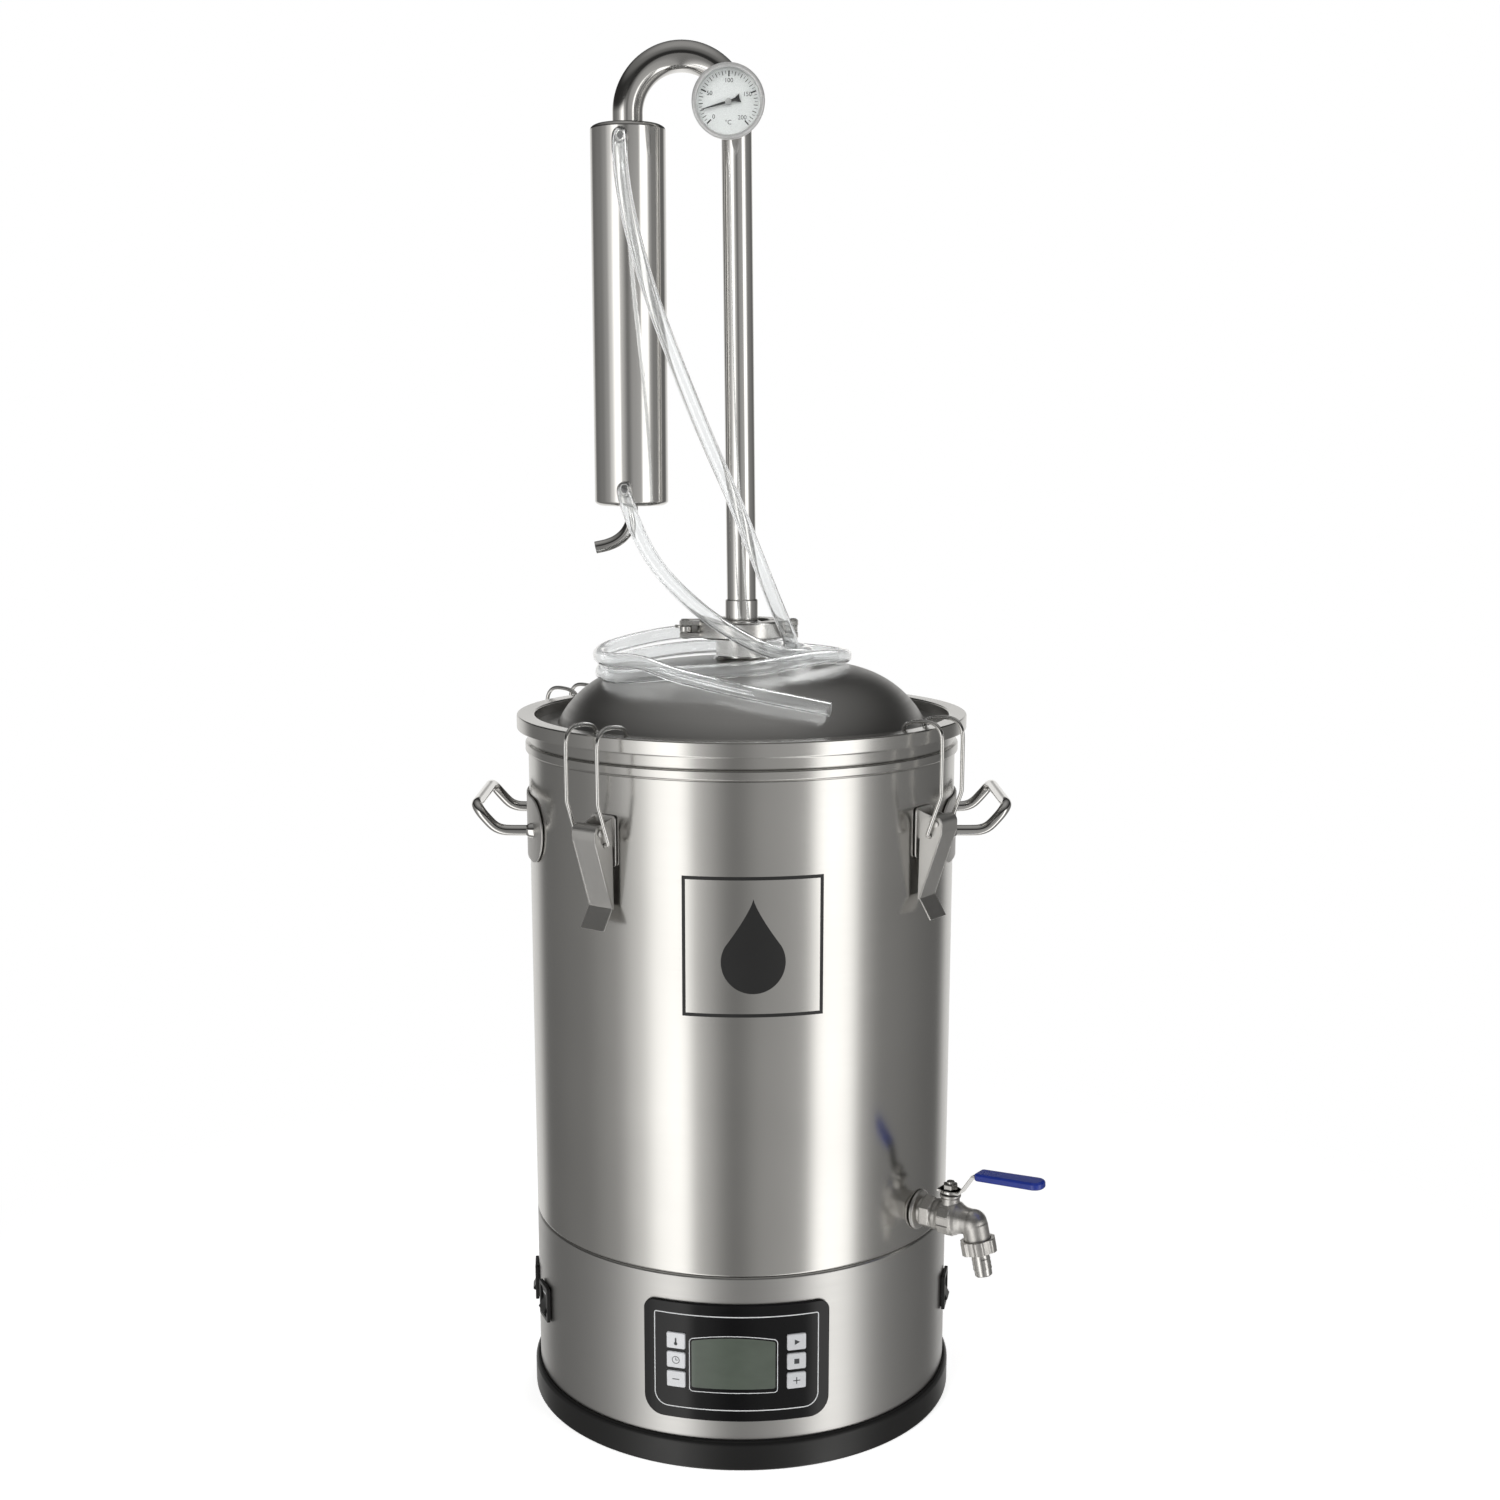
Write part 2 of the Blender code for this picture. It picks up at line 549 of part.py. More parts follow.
def handle(name, azimuth):
    frame = radial_frame(f"{name}_frame", azimuth)
    half_width, half_height = HANDLE_PLATE
    section = [
        (BODY_R + 0.0009, HANDLE_Z - half_height), (BODY_R + 0.0024, HANDLE_Z - half_height),
        (BODY_R + 0.0024, HANDLE_Z + half_height), (BODY_R + 0.0009, HANDLE_Z + half_height),
    ]
    grip = add_object(name, turned_arc(section, -30.0, 30.0, 7), polished_steel(), frame)
    outline = rounded_rectangle(half_width, half_height, 0.0235, 0.0235)
    outline = [(y, z + HANDLE_Z) for y, z in outline]
    combine(grip, add_object(f"{name}_outline", prism(outline, 0.10, 0.20, facing_x()), None, frame),
            "INTERSECT")
    root = math.sqrt(BODY_R**2 - HANDLE_HALF**2) + 0.0015
    bend = 0.182
    side = [
        (root, HANDLE_HALF, HANDLE_Z), (bend - 0.006, HANDLE_HALF, HANDLE_Z),
        (bend, HANDLE_HALF, HANDLE_Z + 0.0022),
        (HANDLE_REACH - 0.0055, HANDLE_HALF, HANDLE_Z + HANDLE_RISE - 0.009),
        (HANDLE_REACH - 0.0010, HANDLE_HALF - 0.0035, HANDLE_Z + HANDLE_RISE - 0.0015),
        (HANDLE_REACH, HANDLE_HALF - 0.0110, HANDLE_Z + HANDLE_RISE),
    ]
    path = side + [(x, -y, z) for x, y, z in reversed(side)]
    weld(grip, f"{name}_rod", tube(path, [HANDLE_ROD_R] * len(path), TINY), frame)


# Latches

def latch_base(number, frame):
    inner, plate = BODY_R + 0.0005, 0.0014
    low, high = 0.4400, 0.4765
    base = add_object(f"latch_base_{number}", box((inner, -0.0110, low), (inner + plate, 0.0110, high)),
                      polished_steel(), frame)
    x, z = LATCH_PIVOT
    ear = [(inner + 0.0005, z - 0.012), (x + 0.0012, z - 0.0032)] + arc_points((x, z), 0.0034, -60, 90, 3)
    ear.append((inner + 0.0005, z + 0.0085))
    for side in (-1, 1):
        low_y, high_y = sorted((side * 0.0070, side * 0.0082))
        weld(base, f"latch_ear_{number}_{side + 1}", prism(ear, -high_y, -low_y, side_view()), frame)
    pin = [(0, -0.0118), (0.0026, -0.0118), (0.0026, -0.0109), (0.0015, -0.0109),
           (0.0015, 0.0109), (0.0026, 0.0109), (0.0026, 0.0118), (0, 0.0118)]
    weld(base, f"latch_pin_{number}", turned(pin, TINY, along_y(x=x, z=z)), frame)


def latch_lever(number, frame):
    x, z = LATCH_PIVOT
    outer = [(x + 0.0055, z - 0.0060), (x - 0.0115, LEVER_TIP_Z + 0.0145), (x - 0.0020, LEVER_TIP_Z)]
    inner = [(x - 0.0036, LEVER_TIP_Z - 0.0004), (x - 0.0133, LEVER_TIP_Z + 0.0135), (x - 0.0125, z - 0.0030)]
    outline = outer + inner + arc_points((x, z), 0.0056, 150, 0, 5)
    lever = add_object(f"latch_lever_{number}", prism(outline, -LEVER_HALF, LEVER_HALF, side_view()),
                       polished_steel(),
                       frame, (x, 0, z))
    sheet = LEVER_SHEET
    hollow = [
        (x + 0.0100, z - 0.0120), (x + 0.0031 - sheet, z - 0.0125),
        (x - 0.0116 - sheet, LEVER_TIP_Z + 0.0155),
        (x - 0.0200, LEVER_TIP_Z + 0.0155), (x - 0.0200, z + 0.0100), (x + 0.0100, z + 0.0100),
    ]
    half = LEVER_HALF - sheet
    cut(lever, f"lever_hollow_{number}", prism(hollow, -half, half, side_view()), frame)
    for label, (px, pz), radius in (("pin", LATCH_PIVOT, 0.0018), ("bail", BAIL_PIVOT, 0.0018)):
        hole = bore(radius, -0.02, 0.02, along_y(x=px, z=pz))
        cut(lever, f"lever_{label}_hole_{number}", hole, frame)


def latch_bail(number, frame):
    x, z = BAIL_PIVOT
    top = CHANNEL[3]
    side = [
        (x, LEVER_HALF - 0.0014, z), (x, BAIL_HALF - 0.0012, z), (x + 0.0002, BAIL_HALF, z + 0.0014),
        (BAIL_KNEE[0], BAIL_HALF, BAIL_KNEE[1]), (BAIL_KNEE[0], BAIL_HALF, top - 0.0060),
        (0.1818, BAIL_HALF, top + 0.0012), (0.1765, BAIL_HALF, top + 0.0055),
        (0.1680, BAIL_HALF, top + 0.0066),
        (0.1590, BAIL_HALF, top + 0.0056), (0.1525, BAIL_HALF, top + 0.0028),
        (0.1508, BAIL_HALF, top - 0.0012),
        (0.1503, BAIL_HALF - 0.0025, top - 0.0040),
    ]
    path = side + [(px, -py, pz) for px, py, pz in reversed(side)]
    shape = tube(path, [BAIL_WIRE] * len(path), 6)
    add_object(f"latch_bail_{number}", shape, polished_steel(), frame, (x, 0, z))


def latches():
    for number, azimuth in enumerate(LATCH_AZ, 1):
        frame = radial_frame(f"latch_frame_{number}", azimuth)
        latch_base(number, frame)
        latch_lever(number, frame)
        latch_bail(number, frame)


# Tap

def tap_nipple(frame):
    profile = [(TAP_BORE, 0.1430), (0.0100, 0.1430), (0.0100, 0.1606), (0.0135, 0.1606), (0.0135, 0.1628),
               (0.0095, 0.1634), (0.0095, 0.1660), (TAP_BORE, 0.1660)]
    add_object("tap_nipple", turned(profile, SMALL, along_x(z=TAP_Z)), cast_steel(), frame)


def tap_locknut(frame):
    nut = add_object("tap_locknut", prism(hexagon(0.027), 0.1490, 0.1560, along_x(z=TAP_Z)), cast_steel(),
                     frame)
    cut(nut, "locknut_bore", bore(0.0104, 0.14, 0.17, along_x(z=TAP_Z), SMALL), frame)


def outlet_matrix():
    """The outlet's own axis: it leaves the tap's axis downward and leans outward a little."""
    return Matrix.Translation((TAP_OUTLET_X, 0, TAP_Z)) @ Matrix.Rotation(math.radians(180 - TAP_TILT), 4,
                                                                          "Y")


def tap_body(frame):
    wall, thread, cavity = 0.0125, 0.0096, 0.0096
    body = add_object("tap_body", prism(hexagon(0.024), 0.1663, 0.1765, along_x(z=TAP_Z)), cast_steel(),
                      frame)
    barrel = [(0, 0.1755), (0.0112, 0.1755), (wall, 0.1800), (wall, 0.1960), (0.0096, 0.2000),
              (0.0096, 0.2065), (0, 0.2065)]
    weld(body, "tap_barrel", turned(barrel, SMALL, along_x(z=TAP_Z)), frame)
    elbow = [(0, -0.0101)] + arc_points((0, 0), 0.0101, -60, 60, 4) + [(0, 0.0101)]
    weld(body, "tap_elbow", turned(elbow, SMALL, Matrix.Translation((TAP_OUTLET_X - 0.0008, 0, TAP_Z))),
         frame)
    spout = [(0, 0.0010), (0.0098, 0.0010), (0.0098, 0.0105), (thread, 0.0110), (thread, 0.0175), (0, 0.0175)]
    weld(body, "tap_spout", turned(spout, SMALL, outlet_matrix()), frame)
    stem_place = Matrix.Translation((TAP_STEM_X, 0, TAP_Z))
    weld(body, "tap_neck",
         turned([(0, 0.008), (0.0070, 0.008), (0.0070, 0.0180), (0, 0.0180)], SMALL, stem_place), frame)
    ball = [(0, -cavity)] + arc_points((0, 0), cavity, -60, 60, 4) + [(0, cavity)]
    cut(body, "ball_cavity", turned(ball, SMALL, stem_place), frame)
    cut(body, "stem_bore", bore(0.0034, 0.001, 0.030, stem_place), frame)
    cut(body, "inlet_bore", bore(TAP_BORE, 0.16, 0.2075, along_x(z=TAP_Z)), frame)
    cut(body, "outlet_bore", bore(TAP_BORE, -0.0031, 0.03, outlet_matrix()), frame)


def tap_stem(frame):
    radius = 0.0088
    ball = [(0, -radius)] + arc_points((0, 0), radius, -60, 60, 4) + [(0, radius)]
    place = Matrix.Translation((TAP_STEM_X, 0, TAP_Z))
    stem = add_object("tap_stem", turned(ball, SMALL, place), cast_steel(), frame, (TAP_STEM_X, 0, TAP_Z))
    rod = [(0, 0.004), (0.0030, 0.004), (0.0030, 0.0300), (0, 0.0300)]
    weld(stem, "stem_rod", turned(rod, TINY, place), frame)
    port = bore(TAP_BORE, 0.17, 0.21, along_x(z=TAP_Z))
    cut(stem, "ball_port", port, frame)


def tap_lever(frame):
    low, thick = TAP_Z + 0.0195, 0.0020
    top = [(0.1805, low + thick), (0.1955, low + thick), (0.2070, LEVER_TOP_Z),
           (TAP_LEVER_END - 0.004, LEVER_TOP_Z + LEVER_RISE)]
    bottom = [(x, z - thick) for x, z in reversed(top)]
    lever = add_object("tap_lever", prism(top + bottom, -0.0055, 0.0055, side_view()), polished_steel(),
                       frame,
                       (TAP_STEM_X, 0, TAP_Z))
    hole = bore(0.0033, 0.17, 0.21, Matrix.Translation((TAP_STEM_X, 0, 0)))
    cut(lever, "lever_stem_hole", hole, frame)


def tap_lever_sleeve(frame):
    start, end, slope = 0.2085, TAP_LEVER_END, LEVER_RISE / (TAP_LEVER_END - 0.2110)
    ends = [(x, LEVER_TOP_Z - 0.0010 + (x - 0.2070) * slope) for x in (start, end)]
    outline = [(ends[0][0], ends[0][1] + 0.0030), (ends[0][0], ends[0][1] - 0.0030)]
    outline += [(ends[1][0] - 0.0015, ends[1][1] - 0.0030), (ends[1][0], ends[1][1] - 0.0010)]
    outline += [(ends[1][0], ends[1][1] + 0.0010), (ends[1][0] - 0.0015, ends[1][1] + 0.0030)]
    sleeve = add_object("tap_lever_sleeve", prism(outline, -0.0080, 0.0080, side_view()), blue_vinyl(), frame,
                        (TAP_STEM_X, 0, TAP_Z))
    pocket_end = TAP_LEVER_END - 0.0035
    rise = (pocket_end - start) * slope
    low, high = ends[0][1] - 0.0014, ends[0][1] + 0.0014
    pocket = [(start - 0.004, low), (pocket_end, low + rise), (pocket_end, high + rise),
              (start - 0.004, high)]
    cut(sleeve, "sleeve_pocket", prism(pocket, -0.0059, 0.0059, side_view()), frame)


def tap_stem_nut(frame):
    low = TAP_Z + 0.0195 + 0.0020 + GAP
    place = Matrix.Translation((TAP_STEM_X, 0, 0))
    nut = add_object("tap_stem_nut", prism(hexagon(0.0100), low, low + 0.0045, place), cast_steel(), frame,
                     (TAP_STEM_X, 0, low))
    cut(nut, "stem_nut_bore", bore(0.0033, 0.18, 0.21, place), frame)


def tap_union_nut(frame):
    profile = [(0.0100, 0.0118), (0.0128, 0.0118), (0.0135, 0.0132), (0.0135, 0.0208), (0.0128, 0.0222),
               (0.0070, 0.0222), (0.0070, 0.0201), (0.0104, 0.0201), (0.0104, 0.0132)]
    shape = turned(profile, SMALL, outlet_matrix())
    origin = outlet_matrix() @ Vector((0, 0, 0.017))
    add_object("tap_union_nut", shape, cast_steel(), frame, tuple(origin))


def tap_hose_tail(frame):
    inner = 0.0044
    profile = [(inner, 0.0178), (0.0098, 0.0178), (0.0098, 0.0197), (0.0065, 0.0197), (0.0065, 0.0265),
               (0.0069, 0.0285), (0.0063, 0.0320), (0.0069, 0.0340), (0.0060, 0.0395), (inner, 0.0395)]
    add_object("tap_hose_tail", turned(profile, SMALL, outlet_matrix()), cast_steel(), frame)


def tap():
    frame = radial_frame("tap_frame", TAP_AZ)
    for piece in (tap_nipple, tap_locknut, tap_body, tap_stem, tap_lever, tap_lever_sleeve, tap_stem_nut,
                  tap_union_nut, tap_hose_tail):
        piece(frame)


# Lid

def dome_points(sheet):
    """Outer or inner surface of the crown and its knuckle, from the ferrule out to the trough."""
    centre_z = DOME_APEX - CROWN_R
    crown, knuckle = CROWN_R - sheet, KNUCKLE_R - sheet
    knuckle_x = DOME_R - KNUCKLE_R
    knuckle_z = centre_z + math.sqrt((CROWN_R - KNUCKLE_R)**2 - knuckle_x**2)
    tangent = math.degrees(math.atan2(knuckle_z - centre_z, knuckle_x))
    start_r = FERRULE_BORE if sheet else FERRULE_R
    start = math.degrees(math.acos(start_r / crown))
    floor = math.degrees(math.asin((TROUGH_Z + 0.0012 - sheet - knuckle_z) / knuckle))
    points = arc_points((0, centre_z), crown, start, tangent, 2)
    return points + arc_points((knuckle_x, knuckle_z), knuckle, tangent, floor, 4)[1:]


def lid_dome():
    inner_r, outer_r, low, high = CHANNEL
    flange = JOINT_Z - 0.0013
    outer = [(FERRULE_BORE, flange), (FLANGE_R, flange), (FLANGE_R, flange - 0.0018),
             (FERRULE_R, flange - 0.0040)]
    outer += dome_points(0.0)
    outer += [(DOME_R, TROUGH_Z), (inner_r, TROUGH_Z), (inner_r, high), (outer_r, high), (outer_r, low)]
    inner = [(outer_r - WALL, low), (outer_r - WALL, high - WALL), (inner_r + WALL, high - WALL),
             (inner_r + WALL, TROUGH_Z - WALL), (DOME_R - 0.0006, TROUGH_Z - WALL)]
    inner += list(reversed(dome_points(WALL)))
    add_object("lid_dome", turned(outer + inner, BIG), brushed_steel())


def lid_seal():
    inner_r, outer_r, _, high = CHANNEL
    low = RIM_Z + 0.0028 + GAP
    profile = [(inner_r + 0.0020, low), (outer_r - 0.0022, low), (outer_r - 0.0022, high - WALL - GAP),
               (inner_r + 0.0020, high - WALL - GAP)]
    add_object("lid_seal", turned(profile, BIG), silicone())


# Column

def clamp_gasket():
    profile = [(0.0176, JOINT_Z - 0.0010), (0.0250, JOINT_Z - 0.0010), (0.0250, JOINT_Z + 0.0010),
               (0.0176, JOINT_Z + 0.0010)]
    add_object("clamp_gasket", turned(profile, MEDIUM), silicone())


def riser_pipe():
    base = JOINT_Z + 0.0013
    rings = [(base, FLANGE_R), (base + 0.0018, FLANGE_R), (base + 0.0042, SLEEVE_R),
             (SLEEVE_TOP, SLEEVE_R), (SLEEVE_TOP + 0.0004, RISER_R)]
    path = [(0, 0, z) for z, _ in rings]
    arc = arc_points((RISER_LEAN - BEND_R, BEND_Z), BEND_R, 0, 180, 10)
    path += [(x, 0, z) for x, z in arc] + [(CONDENSER_X, 0, CONDENSER_Z[1] + 0.0016)]
    radii = [r for _, r in rings] + [RISER_R] * (len(path) - len(rings))
    pipe = add_object("riser_pipe", tube(path, radii, SMALL, [RISER_BORE] * len(path)), polished_steel())
    hole = bore(0.0036, 0, 0.020, along_y(x=DIAL_X, z=DIAL_Z))
    cut(pipe, "probe_hole", hole)


def clamp_section():
    half = CLAMP_HALF_H
    lower = [(CLAMP_LIP_R, -half), (CLAMP_R, -half), (CLAMP_R, half), (CLAMP_LIP_R, half),
             (CLAMP_LIP_R, 0.0051), (0.0259, 0.0034), (0.0259, -0.0034), (CLAMP_LIP_R, -0.0051)]
    return [(r, z + JOINT_Z) for r, z in lower]


def lug(low_x, high_x, low_y, high_y, low_z, high_z):
    return box((low_x, low_y, JOINT_Z + low_z), (high_x, high_y, JOINT_Z + high_z))


def upright_pin(x, y, radius, head):
    """A pin along Z with a domed head at each end, just past the clamp's faces."""
    end = CLAMP_HALF_H + 0.0011
    profile = [(0, -end), (head * 0.7, -end), (head, -end + 0.0009), (head, -end + 0.0018),
               (radius, -end + 0.0018),
               (radius, end - 0.0018), (head, end - 0.0018), (head, end - 0.0009), (head * 0.7, end),
               (0, end)]
    return turned(profile, TINY, Matrix.Translation((x, y, JOINT_Z)))


def clamp_front():
    front = add_object("clamp_front", turned_arc(clamp_section(), 184, 352, 10), cast_steel())
    half = CLAMP_HALF_H
    for number, (low, high) in enumerate(((-half, -0.0026), (0.0026, half)), 1):
        weld(front, f"fork_tine_{number}", lug(CLAMP_BOLT_X - 0.0045, -0.0290, CLAMP_PIN_Y - 0.0050,
                                                CLAMP_PIN_Y + 0.0040, low, high))
        weld(front, f"hinge_lug_{number}", lug(0.0285, CLAMP_HINGE_X + 0.0035, -0.0075, 0.0022, low, high))
    weld(front, "fork_pin", upright_pin(CLAMP_BOLT_X, CLAMP_PIN_Y, 0.0019, 0.0034))
    weld(front, "hinge_pin", upright_pin(CLAMP_HINGE_X, 0, 0.0017, 0.0030))


def clamp_rear():
    rear = add_object("clamp_rear", turned_arc(clamp_section(), 6, 174, 10), cast_steel())
    weld(rear, "hinge_knuckle", lug(0.0290, CLAMP_HINGE_X + 0.0032, -0.0028, 0.0100, -0.0022, 0.0022))
    weld(rear, "bolt_ear", lug(CLAMP_BOLT_X - 0.0038, -0.0280, 0.0040, 0.0090, -CLAMP_HALF_H, CLAMP_HALF_H))
    knuckle_bore = bore(0.0021, -0.01, 0.01, Matrix.Translation((CLAMP_HINGE_X, 0, JOINT_Z)))
    cut(rear, "knuckle_bore", knuckle_bore)
    cut(rear, "bolt_slot", lug(CLAMP_BOLT_X - 0.0100, CLAMP_BOLT_X + 0.0028, 0.0, 0.012, -0.0028, 0.0028))


def clamp_bolt():
    place = Matrix.Translation((CLAMP_BOLT_X, CLAMP_PIN_Y, JOINT_Z))
    eye = [(0.0023, -0.0022), (0.0046, -0.0022), (0.0046, 0.0022), (0.0023, 0.0022)]
    bolt = add_object("clamp_bolt", turned(eye, SMALL, place), cast_steel(), None,
                      (CLAMP_BOLT_X, CLAMP_PIN_Y, JOINT_Z))
    rod = [(0, 0.0030), (0.0022, 0.0030), (0.0022, -0.0215), (0, -0.0215)]
    shank = turned(rod, TINY, along_y(x=CLAMP_BOLT_X, z=JOINT_Z))
    weld(bolt, "bolt_shank", shank)
    clear = bore(0.0023, -0.01, 0.01, place, SMALL)
    cut(bolt, "eye_bore", clear)


def clamp_wing_nut():
    place = along_y(x=CLAMP_BOLT_X, z=JOINT_Z)
    hub = [(0.0025, -0.0160), (0.0042, -0.0160), (0.0050, -0.0096), (0.0025, -0.0096)]
    nut = add_object("clamp_wing_nut", turned(hub, SMALL, place), cast_steel(), None,
                     (CLAMP_BOLT_X, 0.0130, JOINT_Z))
    wing = [(0.0035, 0.0105), (0.0070, 0.0120), (0.0092, 0.0165), (0.0088, 0.0195), (0.0062, 0.0185),
            (0.0036, 0.0150)]
    for side in (-1, 1):
        outline = [(side * x, y) for x, y in wing]
        shape = prism(outline, -0.0011, 0.0011, Matrix.Translation((CLAMP_BOLT_X, 0, JOINT_Z)))
        weld(nut, f"wing_{side + 1}", shape)


def condenser_jacket():
    low, high = CONDENSER_Z
    wall, tube_hole, spout_hole = 0.0010, 0.0080, 0.0049
    inner = CONDENSER_R - wall
    profile = [
        (tube_hole, high + 0.0012), (0.020, high + 0.0004), (CONDENSER_R - 0.0006, high - 0.0008),
        (CONDENSER_R, high - 0.0020),
        (CONDENSER_R, low + 0.0020), (CONDENSER_R - 0.0006, low + 0.0008), (0.018, low - 0.0004),
        (spout_hole, low - 0.0012),
        (spout_hole, low), (inner, low + 0.0020), (inner, high - 0.0024), (tube_hole, high),
    ]
    place = Matrix.Translation((CONDENSER_X, 0, 0))
    jacket = add_object("condenser_jacket", turned(profile, MEDIUM, place), polished_steel())
    inside = math.sqrt(CONDENSER_R**2 - (NIPPLE_X - CONDENSER_X)**2) - 0.0005
    for number, height in enumerate(NIPPLE_Z, 1):
        place = along_y(x=NIPPLE_X, z=height)
        tip = -NIPPLE_TIP
        stub = [(0, inside), (0.0041, inside), (0.0041, tip - 0.002), (0.0037, tip), (0, tip)]
        weld(jacket, f"nipple_{number}",
             turned(stub, TINY, place @ Matrix.Rotation(math.radians(BORE_TURN), 4, "Z")))
        cut(jacket, f"nipple_bore_{number}", bore(0.0028, 0.020, 0.05, place))


def condenser_tube():
    x = CONDENSER_X
    low, high = CONDENSER_Z
    top = high + 0.0013
    bend = [(x, 0, 0.6760), (x - 0.0022, 0, 0.6685), (x - 0.0075, 0, 0.6615), (x - 0.0150, 0, 0.6565),
            (x - 0.0270, 0, 0.6535)]
    path = [(x, 0, top), (x, 0, low + 0.0090), (x, 0, low + 0.0040)] + bend
    radii = [0.0077, 0.0077] + [0.0045] * (len(path) - 2)
    bores = [0.0067, 0.0067] + [0.0036] * (len(path) - 2)
    add_object("condenser_tube", tube(path, radii, SMALL, bores), polished_steel())


def thermometer_case():
    back = DIAL_FRONT + 0.0130
    face = DIAL_FRONT + 0.0065
    profile = [
        (0, 0.0040), (0.0025, 0.0040), (0.0025, -0.0116), (0.0070, -0.0116), (0.0070, -0.0220),
        (0.0050, -0.0225),
        (0.0050, back), (DIAL_R - 0.0012, back), (DIAL_R - 0.0006, DIAL_FRONT + 0.0030),
        (DIAL_R, DIAL_FRONT + 0.0026),
        (DIAL_R, DIAL_FRONT + 0.0006), (DIAL_R - 0.0008, DIAL_FRONT), (DIAL_R - 0.0022, DIAL_FRONT),
        (DIAL_R - 0.0024, face), (0.0012, face), (0.0010, face - 0.0012), (0, face - 0.0012),
    ]
    shape = turned([(r, -y) for r, y in profile], MEDIUM, along_y(x=DIAL_X, z=DIAL_Z))
    add_object("thermometer_case", shape, polished_steel())


def thermometer_needle():
    face = DIAL_FRONT + 0.0065
    front, back = face - 0.0024, face - 0.0016
    shape = turned([(0, -back), (0.0030, -back), (0.0030, -front), (0, -front)], SMALL,
                   along_y(x=DIAL_X, z=DIAL_Z))
    needle = add_object("thermometer_needle", shape, dark_paint(), None, (DIAL_X, front, DIAL_Z))
    reading = 21.0
    direction = math.radians(90 + 134 - 271 * reading / 200)
    pointer = [(0.0, -0.0010), (0.0195, -0.0003), (0.0195, 0.0003), (0.0, 0.0010), (-0.0085, 0.0028),
               (-0.0085, -0.0028)]
    turn = Matrix.Translation((DIAL_X, 0, DIAL_Z)) @ Matrix.Rotation(-direction, 4, "Y")
    weld(needle, "pointer", prism(pointer, -back, -front, turn @ side_view()))


def thermometer_glass():
    profile = [(0, 0.0008), (DIAL_R - 0.0028, 0.0008), (DIAL_R - 0.0028, 0.0022), (0, 0.0022)]
    shape = turned([(r, -(DIAL_FRONT + y)) for r, y in profile], MEDIUM, along_y(x=DIAL_X, z=DIAL_Z))
    add_object("thermometer_glass", shape, clear_glass())


def hose(name, route):
    curve = bpy.data.curves.new(name, "CURVE")
    curve.dimensions = "3D"
    curve.bevel_depth = HOSE_R
    curve.bevel_resolution = 2
    curve.use_fill_caps = True
    points = smooth_path(route, HOSE_STEP)
    spline = curve.splines.new("POLY")
    spline.points.add(len(points) - 1)
    for target, point in zip(spline.points, points):
        target.co = (*point, 1.0)
    curve.materials.append(clear_hose())
    obj = bpy.data.objects.new(name, curve)
    bpy.context.scene.collection.objects.link(obj)


def main():
    clear_scene()
    for piece in (kettle_shell, base_casing, foot_ring, bottom_cover, heating_element, thermal_cutout,
                  control_board,
                  panel_bezel, buttons, lcd_window, rocker_switches, power_inlet):
        piece()
    handle("handle_right", 90.0)
    handle("handle_left", -90.0)
    latches()
    tap()
    for piece in (lid_dome, lid_seal, clamp_gasket, riser_pipe, clamp_front, clamp_rear, clamp_bolt,
                  clamp_wing_nut,
                  condenser_jacket, condenser_tube, thermometer_case, thermometer_needle, thermometer_glass):
        piece()
    hose("hose_upper", HOSE_UPPER_ROUTE)
    hose("hose_lower", HOSE_LOWER_ROUTE)


main()
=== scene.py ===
import math

import bmesh
import bpy
from mathutils import Matrix, Vector

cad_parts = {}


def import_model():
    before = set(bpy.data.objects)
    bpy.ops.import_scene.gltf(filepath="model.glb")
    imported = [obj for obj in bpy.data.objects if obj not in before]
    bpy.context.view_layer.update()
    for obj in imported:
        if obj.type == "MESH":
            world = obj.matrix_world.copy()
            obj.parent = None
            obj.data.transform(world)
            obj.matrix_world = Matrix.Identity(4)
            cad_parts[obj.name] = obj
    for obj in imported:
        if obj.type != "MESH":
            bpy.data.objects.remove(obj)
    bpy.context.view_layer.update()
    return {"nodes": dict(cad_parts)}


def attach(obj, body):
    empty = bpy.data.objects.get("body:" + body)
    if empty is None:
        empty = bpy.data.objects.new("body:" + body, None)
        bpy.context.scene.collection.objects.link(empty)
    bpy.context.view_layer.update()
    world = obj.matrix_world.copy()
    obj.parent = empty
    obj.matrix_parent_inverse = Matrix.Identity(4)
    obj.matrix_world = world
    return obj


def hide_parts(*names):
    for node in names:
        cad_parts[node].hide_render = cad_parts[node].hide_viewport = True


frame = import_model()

# Looks of an electric brew kettle with a dome still lid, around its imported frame. Metres, +Z up, front is -Y.
GAP = 0.0003
INK_GAP, PANEL_INK, SHELL_INK = 0.00002, 0.00010, 0.00012
ROUND, FINE, COARSE = 192, 64, 32

BODY_R, WALL, SEAM_Z = 0.160, 0.0012, 0.1474
GROOVE_Z, BEAD_OUT = (0.5045, 0.5125), 0.0022
RIM_R, RIM_Z, RIM_BEAD = 0.1616, 0.5240, 0.0032
CASING_BOTTOM, CASING_FLANGE_R = 0.006, 0.150
FOOT_R, FOOT_H = 0.1638, 0.0225
PANEL_AZ, PANEL_R, PANEL_IN = -1.4, 0.1623, 0.16055
PANEL_HALF_W, PANEL_Z = 0.0690, (0.0376, 0.1268)
BUTTON_AZ, BUTTON_Z, BUTTON_SIZE = 15.4, (0.0978, 0.0830, 0.0682), (0.0140, 0.0122)
KEY_PROUD = 0.0014
LCD_AZ, LCD_W = -2.1, 0.0606
ROCKER_AZ, ROCKER_Z, ROCKER_PLATE = (-69.0, -85.0, 78.0), 0.084, (0.022, 0.028)
ROCKER_PIVOT, ROCKER_TILT = 0.1550, 10.0
